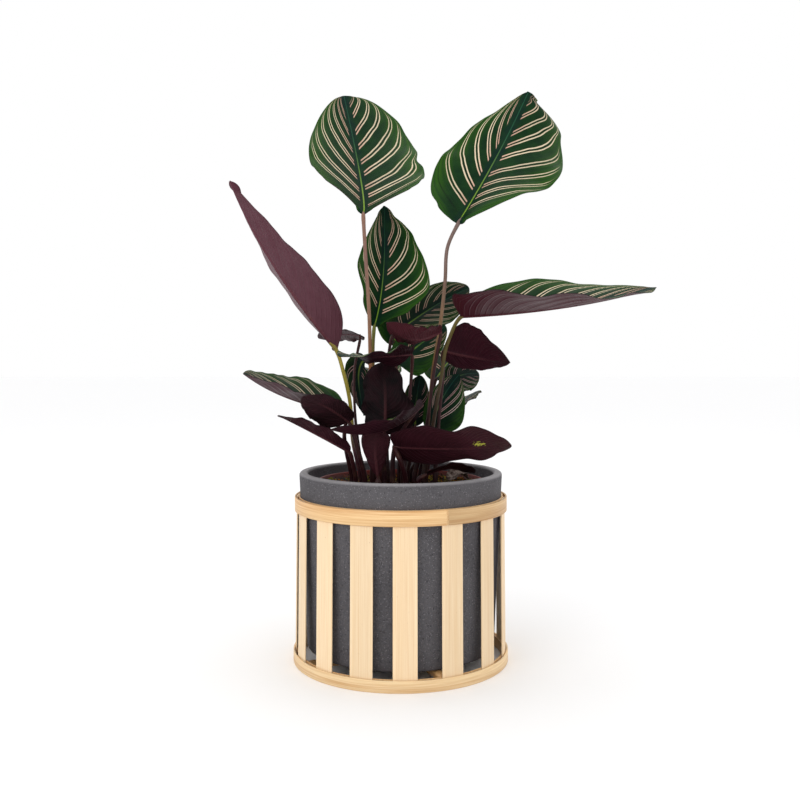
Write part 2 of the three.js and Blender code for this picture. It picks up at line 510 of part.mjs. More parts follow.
// The petiole stands upright in the soil, then tapers up into the blade's base
function petioleTube(leaf) {
  const [[x, y], ...bends] = leaf.petiole;
  const [footGirth, topGirth] = leaf.girth ?? PETIOLE_GIRTH;
  const joint = bladeRib(leaf, PETIOLE_OVERLAP).point;
  const route = [[x, y, SOIL_Z + 2 * SOIL_SWELL], [x, y, CROWN_Z], ...bends, leaf.rib[0]]
    .map((point) => new THREE.Vector3(...point));
  const curve = new THREE.CatmullRomCurve3([...route, joint], false, 'centripetal');
  const steps = 3 + 2 * bends.length;
  const frames = curve.computeFrenetFrames(steps, false);
  const rings = [];
  for (let i = 0; i <= steps; i += 1) {
    const centre = curve.getPointAt(i / steps);
    const risen = THREE.MathUtils.clamp((centre.z - CROWN_Z) / SHEATH_HEIGHT, 0, 1);
    const girth = THREE.MathUtils.lerp(footGirth, topGirth, risen) * (i === steps ? PETIOLE_END_SHARE : 1);
    const ring = [];
    for (let j = 0; j < PETIOLE_SIDES; j += 1) {
      const turn = 2 * Math.PI * j / PETIOLE_SIDES;
      ring.push(centre.clone()
        .addScaledVector(frames.normals[i], girth * Math.cos(turn))
        .addScaledVector(frames.binormals[i], girth * Math.sin(turn)));
    }
    rings.push(ring);
  }
  const rooted = rings[0].map((point) => point.clone().setZ(ROOTED_Z));
  return skinned([rooted, ...rings]);
}

// The plain hole in the soil that a petiole stands in
function rootHole(leaf) {
  const [[x, y]] = leaf.petiole;
  const [footGirth] = leaf.girth ?? PETIOLE_GIRTH;
  const radius = (footGirth + CONTACT_GAP) / Math.cos(Math.PI / ROOT_HOLE_SIDES);
  const height = 2 * (SOIL_Z - ROOTED_Z) + 2 * SOIL_SWELL;
  const bore = new THREE.CylinderGeometry(radius, radius, height, ROOT_HOLE_SIDES);
  bore.rotateX(Math.PI / 2);
  bore.translate(x, y, ROOTED_Z - CONTACT_GAP + height / 2);
  return toSolid(bore);
}

// Soil fills the grow pot, heaped a little towards the stems
const soilBore = GROW_POT_WALL + CONTACT_GAP;
let soil = toSolid(turned([
  [0, growPotFootZ + soilBore],
  [GROW_POT_FOOT_RADIUS - soilBore - SOIL_FOOT_SLACK, growPotFootZ + soilBore],
  [GROW_POT_TOP_RADIUS - soilBore - SOIL_SIDE_SLACK, growPotLipZ],
  [GROW_POT_TOP_RADIUS - soilBore, growPotLipZ + SOIL_SHOULDER],
  [GROW_POT_TOP_RADIUS - soilBore - SOIL_EDGE_WIDTH, SOIL_Z - SOIL_EDGE_DROP],
  [HEAP_FOOT_RADIUS, SOIL_Z],
  [HEAP_TOP_RADIUS, SOIL_Z + SOIL_SWELL],
  [0, SOIL_Z + SOIL_SWELL],
], GROW_POT_STEPS));
for (const leaf of leaves.filter((one) => one.petiole)) {
  soil = soil.subtract(rootHole(leaf));
}
place('soil', toGeometry(soil), pottingSoil);

for (const leaf of leaves) {
  const span = Math.max(leaf.left[0], leaf.right[0]);
  const rows = leaf.dents ? DENTED_ROWS : PLAIN_ROWS;
  const columns = span > LARGE_HALF_WIDTH ? LARGE_COLUMNS : SMALL_COLUMNS;
  let body = toSolid(blade(leaf, rows, columns));
  if (leaf.petiole) {
    body = body.add(toSolid(petioleTube(leaf)));
  }
  const shows = leaf.face[0][1] > 0 ? leafPurple : leafGreen;
  place(leaf.name, toGeometry(body), leaf.name === 'leaf_dry' ? dryBrown : shows);
}

export default plant;
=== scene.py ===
import bpy
import math
import random
import numpy as np
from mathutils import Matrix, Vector


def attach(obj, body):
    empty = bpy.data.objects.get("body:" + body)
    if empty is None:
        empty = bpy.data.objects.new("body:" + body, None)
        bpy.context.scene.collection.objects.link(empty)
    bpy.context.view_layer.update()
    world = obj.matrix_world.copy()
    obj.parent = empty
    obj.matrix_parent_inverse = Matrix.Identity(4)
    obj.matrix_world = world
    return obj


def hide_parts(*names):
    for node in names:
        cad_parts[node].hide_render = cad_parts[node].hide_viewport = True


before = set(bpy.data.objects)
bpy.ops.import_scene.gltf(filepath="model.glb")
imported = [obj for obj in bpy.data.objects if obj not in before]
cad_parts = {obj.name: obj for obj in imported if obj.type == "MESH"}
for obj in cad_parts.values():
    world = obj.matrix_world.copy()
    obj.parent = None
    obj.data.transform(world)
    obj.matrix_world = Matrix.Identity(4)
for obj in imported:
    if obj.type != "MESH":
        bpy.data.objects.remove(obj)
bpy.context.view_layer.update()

# Camera
# Stands in front of the plant at half its height and looks slightly down. Its place,
# tilt and focal length are the ones found for the photograph.
PHOTO_PIXELS = 800
FOCAL_PIXELS = 922.3
FILM_WIDE = 36
LOOK_DOWN = 0.045

camera = bpy.data.objects.new("camera", bpy.data.cameras.new("camera"))
bpy.context.scene.collection.objects.link(camera)
camera.location = (-0.00057, -0.7984, 0.26024)
camera.rotation_euler = (math.pi / 2 - LOOK_DOWN, 0, 0)
camera.data.sensor_width = FILM_WIDE
camera.data.lens = FOCAL_PIXELS / PHOTO_PIXELS * FILM_WIDE
bpy.context.scene.camera = camera

# Basket hoops
# Split bamboo strips bent into rings, an outer and an inner one at the top and at
# the foot. The ends of each strip are scarfed and lie over each other.
MM = 0.001
GAP = 0.3
STRIP_THICK = 1.5
SLAT_THICK = 1.3
TOP_HOOP = {"radius": 91.8, "foot": 130.1, "top": 142.3}
FOOT_HOOP = {"radius": 93.5, "foot": 0.0, "top": 9.8}
INNER_INSET = STRIP_THICK + SLAT_THICK + 2 * GAP
EASED_EDGE = 0.35
SET_IN = 0.12


def hue(code):
    """A colour written as in a paint chart, as the linear values a shader takes."""
    parts = [int(code[i:i + 2], 16) / 255 for i in (1, 3, 5)]
    return [p / 12.92 if p <= 0.04045 else ((p + 0.055) / 1.055) ** 2.4 for p in parts] + [1.0]


class Value:
    """A number inside a material, so that a pattern can be written as a formula."""

    def __init__(self, tree, socket):
        self.tree, self.socket = tree, socket

    def math(self, operation, *others):
        """This number and others put through a shader's math operation."""
        made = self.tree.nodes.new("ShaderNodeMath")
        made.operation = operation
        for slot, value in zip(made.inputs, (self, *others)):
            if isinstance(value, Value):
                self.tree.links.new(value.socket, slot)
            else:
                slot.default_value = value
        return Value(self.tree, made.outputs[0])

    def __add__(self, other):
        return self.math("ADD", other)

    def __sub__(self, other):
        return self.math("SUBTRACT", other)

    def __mul__(self, other):
        return self.math("MULTIPLY", other)

    def over(self, low, high):
        """Rises from 0 to 1 between low and high."""
        made = self.tree.nodes.new("ShaderNodeMapRange")
        made.interpolation_type = "SMOOTHSTEP"
        self.tree.links.new(self.socket, made.inputs["Value"])
        for name, value in (("From Min", low), ("From Max", high)):
            if isinstance(value, Value):
                self.tree.links.new(value.socket, made.inputs[name])
            else:
                made.inputs[name].default_value = value
        return Value(self.tree, made.outputs["Result"])


class Paint:
    """One material and the parts its pattern is made of."""

    def __init__(self, name, roughness, **plain):
        self.material = bpy.data.materials.new(name)
        self.material.use_nodes = True
        self.tree = self.material.node_tree
        self.surface = self.tree.nodes["Principled BSDF"]
        self.surface.inputs["Roughness"].default_value = roughness
        for key, value in plain.items():
            self.surface.inputs[key.replace("_", " ")].default_value = value

    def node(self, kind, **inputs):
        """A shader node with these settings and inputs."""
        made = self.tree.nodes.new("ShaderNode" + kind)
        for name, value in inputs.items():
            if hasattr(made, name):
                setattr(made, name, value)
            elif isinstance(value, Value):
                self.tree.links.new(value.socket, made.inputs[name.replace("_", " ")])
            else:
                made.inputs[name.replace("_", " ")].default_value = value
        return made

    def place(self, scale=(1, 1, 1)):
        """Where a point of the piece is, in metres, stretched by scale."""
        spot = Value(self.tree, self.node("TexCoord").outputs["Object"])
        return Value(self.tree, self.node("Mapping", Vector=spot, Scale=scale).outputs[0])

    def grain(self, scale=(1, 1, 1)):
        """Along and across a strip, from its own unrolled coordinates in metres."""
        spot = Value(self.tree, self.node("UVMap").outputs[0])
        return Value(self.tree, self.node("Mapping", Vector=spot, Scale=scale).outputs[0])

    def mark(self, name):
        """A number or colour kept on the mesh under this name."""
        made = self.node("Attribute", attribute_name=name)
        return Value(self.tree, made.outputs["Fac"]), Value(self.tree, made.outputs["Color"])

    def noise(self, where, scale, detail, roughness=0.5):
        """Cloudy noise from 0 to 1."""
        made = self.node("TexNoise", Vector=where, Scale=scale, Detail=detail, Roughness=roughness)
        return Value(self.tree, made.outputs[0])

    def mix(self, amount, first, second, how="MIX"):
        """A colour between two others, each a code or a colour of the material."""
        made = self.tree.nodes.new("ShaderNodeMix")
        made.data_type = "RGBA"
        made.blend_type = how
        for slot, value in ((made.inputs[0], amount), (made.inputs[6], first), (made.inputs[7], second)):
            if isinstance(value, Value):
                self.tree.links.new(value.socket, slot)
            elif isinstance(value, str):
                slot.default_value = hue(value)
            else:
                slot.default_value = value
        return Value(self.tree, made.outputs[2])

    def finish(self, color, roughness, height, depth):
        """Sets the colour, the roughness if given, and the fine relief of a depth in metres."""
        self.tree.links.new(color.socket, self.surface.inputs["Base Color"])
        if roughness is not None:
            self.tree.links.new(roughness.socket, self.surface.inputs["Roughness"])
        bump = self.node("Bump", Strength=1.0, Distance=depth, Height=height)
        self.tree.links.new(bump.outputs[0], self.surface.inputs["Normal"])


def piece(name, node, points, faces, materials, chosen=None, unrolled=None, marks=None, smooth=True):
    """A finished mesh in millimetres that stands for the node, with the materials given."""
    mesh = bpy.data.meshes.new(name)
    mesh.from_pydata([tuple(p) for p in np.asarray(points) * MM], [], [tuple(map(int, f)) for f in faces])
    for material in materials:
        mesh.materials.append(material)
    if chosen is not None:
        mesh.polygons.foreach_set("material_index", np.asarray(chosen, dtype=np.int32))
    mesh.polygons.foreach_set("use_smooth", [smooth] * len(mesh.polygons))
    corner = np.empty(len(mesh.loops), dtype=np.int32)
    mesh.loops.foreach_get("vertex_index", corner)
    if unrolled is not None:
        layer = mesh.uv_layers.new(name="unrolled")
        layer.data.foreach_set("uv", np.asarray(unrolled, dtype=np.float32)[corner].ravel())
    for key, values in (marks or {}).items():
        values = np.asarray(values, dtype=np.float32)
        kind = "FLOAT" if values.ndim == 1 else "FLOAT_COLOR"
        layer = mesh.attributes.new(key, kind, "POINT")
        layer.data.foreach_set("value" if kind == "FLOAT" else "color", values.ravel())
    mesh.validate()
    mesh.update()
    made = bpy.data.objects.new(name, mesh)
    bpy.context.scene.collection.objects.link(made)
    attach(made, "root")
    if node:
        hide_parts(node)
    return made


def loft(count, sides, wrap=False):
    """Faces between count rings, each of sides points and closed round itself."""
    faces = []
    for i in range(count if wrap else count - 1):
        j = (i + 1) % count
        for k in range(sides):
            m = (k + 1) % sides
            faces.append((i * sides + k, i * sides + m, j * sides + m, j * sides + k))
    if not wrap:
        faces.append(tuple(range(sides))[::-1])
        faces.append(tuple((count - 1) * sides + k for k in range(sides)))
    return faces


def eased(width, thick, ease):
    """The outline of a strip across its grain, its four edges eased."""
    corners = [(-1, -1), (1, -1), (1, 1), (-1, 1)]
    outline = []
    for n, (a, b) in enumerate(corners):
        for k in range(4):
            turn = math.radians(180 + 90 * n + 30 * k)
            outline.append((a * (width / 2 - ease) + ease * math.cos(turn),
                            b * (thick / 2 - ease) + ease * math.sin(turn)))
    return outline


bamboo_strip = Paint("bamboo_strip", 0.42, Specular_IOR_Level=0.45)
fibre = bamboo_strip.noise(bamboo_strip.grain((14, 900, 1)), 1.0, 4.0, 0.6)
broad = bamboo_strip.noise(bamboo_strip.grain((5, 120, 1)), 1.0, 2.0)
_, tint = bamboo_strip.mark("tint")
shade = bamboo_strip.mix(fibre.over(0.3, 0.75), "#c08c52", "#e8c594")
shade = bamboo_strip.mix(broad.over(0.35, 0.7) * 0.5, shade, "#f2d3a0")
bamboo_strip.finish(bamboo_strip.mix(1.0, shade, tint, "MULTIPLY"), fibre * 0.2 + 0.36, fibre, 0.0002)


def hoop(name, node, size, scarf, tone, pale=0.0, inset=0.0):
    """A strip bent round the basket, darkest just past its joint at the angle scarf."""
    steps = 220
    radius, foot, top = size["radius"] - inset, size["foot"], size["top"]
    outline = eased(top - foot, STRIP_THICK, EASED_EDGE)
    points, unrolled, tints = [], [], []
    for i in range(steps):
        turn = 2 * math.pi * i / steps
        past = (math.degrees(turn) - scarf) % 360 / 360
        lap = max(0.0, 1 - past * 30)
        step = 0.28 * lap + 0.1 * math.sin(3 * turn)
        for along, out in outline:
            r = radius - STRIP_THICK / 2 - SET_IN + out * (1 - 0.12 * lap) - step * (out > 0)
            points.append((r * math.sin(turn), -r * math.cos(turn), (top + foot) / 2 + along))
            unrolled.append((past * 2 * math.pi * radius * MM, (along + 3 * out) * MM + tone))
            light = 0.98 - 0.3 * math.exp(-5 * past) + 0.04 * math.cos(2 * math.pi * past + tone)
            light *= 1.12 if along > (top - foot) / 2 - 0.5 else 1.0
            tints.append((light * (1 + 0.2 * pale), light * (0.98 + 0.4 * pale),
                          light * (0.95 + 0.7 * pale), 1))
    return piece(name, node, points, loft(steps, len(outline), wrap=True),
                 [bamboo_strip.material], unrolled=unrolled, marks={"tint": tints})


hoop("top_strip_outer", "top_hoop_outer", TOP_HOOP, scarf=23, tone=0.1)
hoop("top_strip_inner", "top_hoop_inner", TOP_HOOP, scarf=190, tone=0.9, inset=INNER_INSET)
hoop("foot_strip_outer", "bottom_hoop_outer", FOOT_HOOP, scarf=-150, tone=0.5, pale=0.6)
hoop("foot_strip_inner", "bottom_hoop_inner", FOOT_HOOP, scarf=150, tone=1.7, inset=INNER_INSET)

# Basket slats
# Fifteen flat split-bamboo slats, planed pale on the outside with their pith side
# in. Each is held between the two strips of both hoops and leans out to the foot.
SLAT_ANGLES = (2.2, 27.1, 51.8, 76, 100.3, 124.6, 148.9, 173.2, 197.5, 221.8, 246.1, 270.3, 294, 317, 339.8)
SLAT_WIDE = 18.4
SLAT_FOOT_RADIUS = 91.7
SLAT_TOP_RADIUS = 90.0
SLAT_ENDS = (0.6, 141.7)
SLAT_EASED = 0.4

bamboo_slat = Paint("bamboo_slat", 0.45, Specular_IOR_Level=0.4)
fibre = bamboo_slat.noise(bamboo_slat.grain((9, 1500, 1)), 1.0, 5.0, 0.62)
band = bamboo_slat.noise(bamboo_slat.grain((2.5, 260, 1)), 1.0, 2.0)
fleck = bamboo_slat.noise(bamboo_slat.grain((260, 1500, 1)), 1.0, 1.0)
_, tint = bamboo_slat.mark("tint")
shade = bamboo_slat.mix(fibre.over(0.32, 0.66), "#e6c69a", "#f4debc")
shade = bamboo_slat.mix(band.over(0.45, 0.72) * 0.5, shade, "#ecd0a6")
shade = bamboo_slat.mix(fleck.over(0.76, 0.82) * 0.6, shade, "#8a5a2c")
bamboo_slat.finish(bamboo_slat.mix(1.0, shade, tint, "MULTIPLY"), fibre * 0.2 + 0.38, fibre, 0.00018)


def slat(index):
    """One slat: its flat sides follow the hoops' curve, and its long edges are eased."""
    draw = random.Random(40 + index)
    width = SLAT_WIDE + 0.9 * math.cos(index * 1.3)
    middle = math.radians(SLAT_ANGLES[index])
    outline = eased(width, SLAT_THICK, SLAT_EASED)
    across = []
    for n, (a, b) in enumerate(outline):
        c, d = outline[(n + 1) % len(outline)]
        cuts = 6 if abs(c - a) > 5 else 1
        across += [(a + (c - a) * k / cuts, b + (d - b) * k / cuts) for k in range(cuts)]
    bow = draw.uniform(-0.25, 0.25)
    light = draw.uniform(0.95, 1.03)
    warm = draw.uniform(0.94, 1.0)
    heights = np.linspace(*SLAT_ENDS, 26)
    points, unrolled, tints = [], [], []
    for z in heights:
        share = z / TOP_HOOP["top"]
        radius = SLAT_FOOT_RADIUS + (SLAT_TOP_RADIUS - SLAT_FOOT_RADIUS) * share
        radius -= SLAT_THICK / 2 + SET_IN + 0.03
        sway = bow * math.sin(math.pi * share) / radius
        for a, out in across:
            turn = middle + a / SLAT_TOP_RADIUS + sway
            r = radius + out
            points.append((r * math.sin(turn), -r * math.cos(turn), z))
            unrolled.append((z * MM + index, (a + 2 * out) * MM + index * 0.37))
            edge = 1.0 + 0.07 * (abs(a) > width / 2 - 1.0)
            tints.append((light * edge, light * edge * (0.5 + 0.5 * warm), light * warm * edge, 1))
    name = f"slat_{index + 1:02d}"
    return piece("bamboo_" + name, name, points, loft(len(heights), len(across)),
                 [bamboo_slat.material], unrolled=unrolled, marks={"tint": tints})


for index in range(len(SLAT_ANGLES)):
    slat(index)

# Base bars
# Two split-bamboo bars crossed under the planter, the upper one lying on the lower.
# Their rounded rind side faces up, and their ends butt against the foot hoop.
BAR_WIDE = 9.0
BAR_HIGH = 5.8
BAR_ROUND = 2.4
BAR_CHAMFER = 0.5
KNOT_AT = 31
BAR_TINT = (0.8, 0.72, 0.62, 1)


def base_bar(name, node, angle, foot):
    """A bar with a rounded top, run from one side of the foot hoop to the other."""
    half = FOOT_HOOP["radius"] - INNER_INSET - STRIP_THICK - 2 * GAP
    edge = BAR_WIDE / 2
    outline = []
    for k in range(13):
        turn = math.pi * k / 12
        outline.append((edge * math.cos(turn), BAR_HIGH - BAR_ROUND + BAR_ROUND * math.sin(turn)))
    outline += [(-edge, BAR_CHAMFER), (-edge + BAR_CHAMFER, 0), (edge - BAR_CHAMFER, 0), (edge, BAR_CHAMFER)]
    turn = math.radians(angle)
    stations = np.linspace(-half, half, 30)
    points, unrolled = [], []
    for along in stations:
        knot = 0.3 * math.exp(-((along - KNOT_AT) / 1.6) ** 2)
        for side, up in outline:
            side = side * (0.94 + knot * 0.1)
            points.append((along * math.cos(turn) - side * math.sin(turn),
                           along * math.sin(turn) + side * math.cos(turn), foot + up))
            unrolled.append((along * MM, (side + up) * MM + foot))
    return piece(name, node, points, loft(len(stations), len(outline)),
                 [bamboo_strip.material], unrolled=unrolled, marks={"tint": [BAR_TINT] * len(points)})


base_bar("bar_lower", "base_bar_lower", 22.5, 0.0)
base_bar("bar_upper", "base_bar_upper", 112.5, BAR_HIGH + GAP)

# Planter
# A slightly tapered cup cast in dark grey fibre clay, matt and finely speckled, with
# a softly rounded rim whose top is painted paler than the wall as a highlight.
PLANTER_FOOT = 12.2
PLANTER_RIM = 162.7
PLANTER_FOOT_RADIUS = 81.5
PLANTER_RIM_RADIUS = 87.5
PLANTER_WALL = 7.5
PLANTER_FLOOR = PLANTER_FOOT + 9
RIM_ROUND = 2.2
FOOT_ROUND = 2.5
AXIS = 0.01

planter_clay = Paint("planter_clay", 0.85, Specular_IOR_Level=0.3)
spot = planter_clay.place()
cloud = planter_clay.noise(spot, 14, 4.0, 0.6)
grit = planter_clay.noise(spot, 900, 2.0, 0.7)
pits = planter_clay.noise(spot, 520, 1.0)
specks = planter_clay.noise(spot, 1250, 0.0)
rim_highlight, _ = planter_clay.mark("rim_highlight")
shade = planter_clay.mix(cloud.over(0.3, 0.7), "#474548", "#565457")
shade = planter_clay.mix(grit.over(0.35, 0.75) * 0.4, shade, "#636064")
shade = planter_clay.mix(pits.over(0.64, 0.72) * 0.6, shade, "#39373b")
shade = planter_clay.mix(specks.over(0.70, 0.76) * 0.5, shade, "#98959a")
# Painted highlight: the rim's top is mixed, in patches, towards pale grey.
shade = planter_clay.mix(rim_highlight * (cloud * 0.5 + 0.5), shade, "#aaa7a9")
planter_clay.finish(shade, grit * 0.1 + 0.8, grit - pits.over(0.6, 0.72), 0.00028)


def spun(name, node, profile, material, marks, steps=160):
    """A closed profile of radius and height turned about the plant's axis."""
    points, faces = [], []
    for i in range(steps):
        turn = 2 * math.pi * i / steps
        points += [(r * math.sin(turn), -r * math.cos(turn), z) for r, z in profile]
    count = len(profile)
    for i in range(steps):
        j = (i + 1) % steps
        for k in range(count - 1):
            faces.append((i * count + k, j * count + k, j * count + k + 1, i * count + k + 1))
    marks = {key: values * steps for key, values in marks.items()}
    return piece(name, node, points, faces, [material], marks=marks)


def arc(radius, height, size, first, last, steps=8):
    """Points of a rounded corner about radius and height, from one angle to another."""
    turns = [math.radians(first + (last - first) * k / steps) for k in range(steps + 1)]
    return [(radius + size * math.cos(t), height + size * math.sin(t)) for t in turns]


def straight(start, end, steps=24):
    """Points on a straight line from start to end."""
    return [tuple(a + (b - a) * s for a, b in zip(start, end)) for s in np.linspace(0, 1, steps)]


bore = PLANTER_RIM_RADIUS - PLANTER_WALL
profile = [(AXIS, PLANTER_FOOT), (60, PLANTER_FOOT)]
profile += arc(PLANTER_FOOT_RADIUS - FOOT_ROUND, PLANTER_FOOT + FOOT_ROUND, FOOT_ROUND, -90, 0)
profile += straight((PLANTER_FOOT_RADIUS, PLANTER_FOOT + 6), (PLANTER_RIM_RADIUS, PLANTER_RIM - 3))
profile += arc(PLANTER_RIM_RADIUS - RIM_ROUND, PLANTER_RIM - RIM_ROUND, RIM_ROUND, 0, 90)
profile += arc(bore + RIM_ROUND, PLANTER_RIM - RIM_ROUND, RIM_ROUND, 90, 180)
profile += straight((bore, PLANTER_RIM - 3), (PLANTER_FOOT_RADIUS - PLANTER_WALL, PLANTER_FLOOR + 3))
profile += [(bore - 9, PLANTER_FLOOR), (AXIS, PLANTER_FLOOR)]
# Painted highlight: the share of pale grey, rising to 1 over the top of the rim's rounding.
lit_rim_share = [max(0.0, 1 - (PLANTER_RIM - z) / RIM_ROUND) if r > 70 else 0.0 for r, z in profile]
spun("planter_cup", "planter", profile, planter_clay.material, marks={"rim_highlight": lit_rim_share})

# Grow pot
# The thin red plastic pot the plant was raised in, standing loose inside the
# planter. Only its turned-out lip shows, scuffed and dusty with soil. Its inside,
# from just under the lip down, is painted near-black brown as shade.
POT_RIM = 155.5
POT_FOOT = PLANTER_FLOOR + GAP
POT_FOOT_RADIUS = 50.5
POT_WALL = 1.4
POT_WALL_RADIUS = 69.0
LIP_RADIUS = 72.0
LIP_ROUND = 0.7
LIP_FOOT = POT_RIM - 9

pot_plastic = Paint("pot_plastic", 0.42)
spot = pot_plastic.place()
dust = pot_plastic.noise(spot, 90, 5.0, 0.6)
fine = pot_plastic.noise(spot, 1400, 1.0)
inner_shade, _ = pot_plastic.mark("inner_shade")
shade = pot_plastic.mix(dust.over(0.45, 0.75) * 0.6, "#7c261c", "#4c221a")
# Painted shade: the pot's inside is mixed towards near-black brown.
shade = pot_plastic.mix(inner_shade * (dust * 0.4 + 0.75), shade, "#1d120c")
pot_plastic.finish(shade, dust * 0.4 + 0.3, fine, 0.00005)

lip = LIP_RADIUS - LIP_ROUND
profile = [(AXIS, POT_FOOT), (POT_FOOT_RADIUS, POT_FOOT)]
profile += arc(POT_FOOT_RADIUS, POT_FOOT + 1.5, 1.5, -90, 0, 4)
profile += [(POT_WALL_RADIUS, LIP_FOOT), (LIP_RADIUS - 0.6, LIP_FOOT)]
profile += arc(lip, LIP_FOOT + LIP_ROUND, LIP_ROUND, -90, 0, 4)
profile += arc(lip, POT_RIM - LIP_ROUND, LIP_ROUND, 0, 90, 5)
profile += arc(lip, POT_RIM - LIP_ROUND, LIP_ROUND, 90, 180, 5)
profile += [(lip - LIP_ROUND, POT_RIM - 6), (POT_WALL_RADIUS - POT_WALL, LIP_FOOT)]
profile += [(POT_FOOT_RADIUS + 0.1, POT_FOOT + POT_WALL), (AXIS, POT_FOOT + POT_WALL)]
# Painted shade: 1 on the inside wall and floor, the last four points of the profile.
shaded_inside = [1.0 if 0 < n <= 4 else 0.0 for n in range(len(profile), 0, -1)]
spun("grow_pot_shell", "grow_pot", profile, pot_plastic.material, marks={"inner_shade": shaded_inside},
     steps=128)

# Soil
# Dark moist potting mix of peat and bark, heaped towards the stems. Bark bits and
# tufts of yellow-green and rusty moss lie on it.
SOIL_TOP = 149.0
SOIL_RADIUS = 67.3
BARK_BITS = 700
MOSS_TUFTS = 150
TUFT_CRUMBS = 30
MOSS_BANK = 5.6
rng = random.Random(7)

soil_mix = Paint("soil_mix", 0.95, Specular_IOR_Level=0.2)
spot = soil_mix.place()
clumps = soil_mix.noise(spot, 160, 6.0, 0.7)
crumbs = soil_mix.noise(spot, 700, 3.0, 0.7)
shade = soil_mix.mix(clumps.over(0.35, 0.7), "#2a1b12", "#5c402a")
shade = soil_mix.mix(crumbs.over(0.55, 0.75) * 0.7, shade, "#6a4a2e")
soil_mix.finish(shade, None, clumps + crumbs * 0.5, 0.0016)

bits_mix = Paint("bark_and_moss", 0.9, Specular_IOR_Level=0.2)
_, tint = bits_mix.mark("tint")
rough = bits_mix.noise(bits_mix.place(), 900, 3.0, 0.7)
bits_mix.finish(bits_mix.mix(rough.over(0.3, 0.7) * 0.6, tint, "#2a1a10"), None, rough, 0.0005)


def soil_height(x, y):
    """The heaped soil's surface with its lumps."""
    r = math.hypot(x, y)
    heap = SOIL_TOP - 1.2 + 2.4 * max(0.0, 1 - r / 46)
    lumps = 0.55 * math.sin(x * 0.31 + 1.7) * math.cos(y * 0.27) + 0.4 * math.sin(x * 0.83 + y * 0.61)
    return heap + lumps * (0.4 if r > 60 else 1.0)


def soil_body():
    """The whole root ball, with a fine lumpy top."""
    rings, steps = 40, 120
    floor = POT_FOOT + 2.0
    circles = [(SOIL_RADIUS * i / rings, None) for i in range(1, rings + 1)]
    circles += [(SOIL_RADIUS - GAP, LIP_FOOT - 0.5), (POT_FOOT_RADIUS - GAP, floor), (AXIS, floor)]
    points, faces = [(0.0, 0.0, soil_height(0, 0))], []
    for r, z in circles:
        for k in range(steps):
            turn = 2 * math.pi * k / steps
            x, y = r * math.sin(turn), -r * math.cos(turn)
            points.append((x, y, soil_height(x, y) if z is None else z))
    for k in range(steps):
        faces.append((0, 1 + k, 1 + (k + 1) % steps))
    for i in range(len(circles) - 1):
        for k in range(steps):
            m = (k + 1) % steps
            a, b = 1 + i * steps, 1 + (i + 1) * steps
            faces.append((a + k, b + k, b + m, a + m))
    return piece("soil_heap", "soil", points, faces, [soil_mix.material])


def soil_bits():
    """Bark bits lying flat at random, and moss in small tufts of crumbs."""
    points, faces, tints = [], [], []

    def crumb(x, y, z, size, flat, colour):
        start = len(points)
        turn = rng.uniform(0, math.pi)
        for k in range(6):
            a = turn + k * math.pi / 3
            reach = size * rng.uniform(0.55, 1.0)
            east, north = x + reach * math.cos(a), y + reach * math.sin(a) * 0.6
            points.append((east, north, z + rng.uniform(-0.2, 0.4)))
        points.append((x, y, z + size * flat))
        points.append((x, y, z - size * flat))
        for k in range(6):
            faces.append((start + k, start + (k + 1) % 6, start + 6))
            faces.append((start + (k + 1) % 6, start + k, start + 7))
        tints.extend([colour] * 8)

    barks = [hue(c) for c in ("#3a2416", "#5a3a22", "#2a1a12", "#7a5636")]
    mosses = [hue(c) for c in ("#8a8a2a", "#5e6a22", "#b06a24", "#8c4a1c", "#a89a3a")]
    for _ in range(BARK_BITS):
        r, a = 66 * math.sqrt(rng.random()), rng.uniform(0, 2 * math.pi)
        x, y = r * math.cos(a), r * math.sin(a)
        crumb(x, y, soil_height(x, y) + 0.3, rng.uniform(0.8, 2.6), 0.3, rng.choice(barks))
    for _ in range(MOSS_TUFTS):
        r, a = rng.uniform(46, 67), rng.uniform(0, 2 * math.pi)
        cx, cy = r * math.cos(a), r * math.sin(a)
        near = rng.sample(mosses + barks, 3)
        for _ in range(TUFT_CRUMBS):
            x, y = cx + rng.gauss(0, 2.6), cy + rng.gauss(0, 2.2)
            r = math.hypot(x, y)
            if r < 68.5:
                bank = MOSS_BANK * max(0.0, (r - 54) / 14) ** 1.2
                lift = rng.uniform(0.1, 1.0) + bank * rng.uniform(0.3, 1.0)
                crumb(x, y, soil_height(x, y) + lift, rng.uniform(0.5, 1.2), 0.6, rng.choice(near))
    return piece("soil_bits", None, points, faces, [bits_mix.material], marks={"tint": tints},
                 smooth=False)


soil_body()
soil_bits()

# Two tall leaves
# The broad leaves that top the plant, held out to the left and the right on long
# thin petioles. Their upper sides, with pairs of cream pinstripes, face the front.
BLADE_THICK = 0.7
CROWN = 158.0
STEM_TOP = 153.4
ROOTED = 142.0
STEM_TONES = ("#260e12", "#2f1218", "#3a1a1e", "#40201f")


def blade_place(paint):
    """How far a point is across the blade, from 0 at the left to 1, and how far along it."""
    spread = paint.node("SeparateXYZ", Vector=Value(paint.tree, paint.node("UVMap").outputs[0]))
    return Value(paint.tree, spread.outputs[0]), Value(paint.tree, spread.outputs[1])


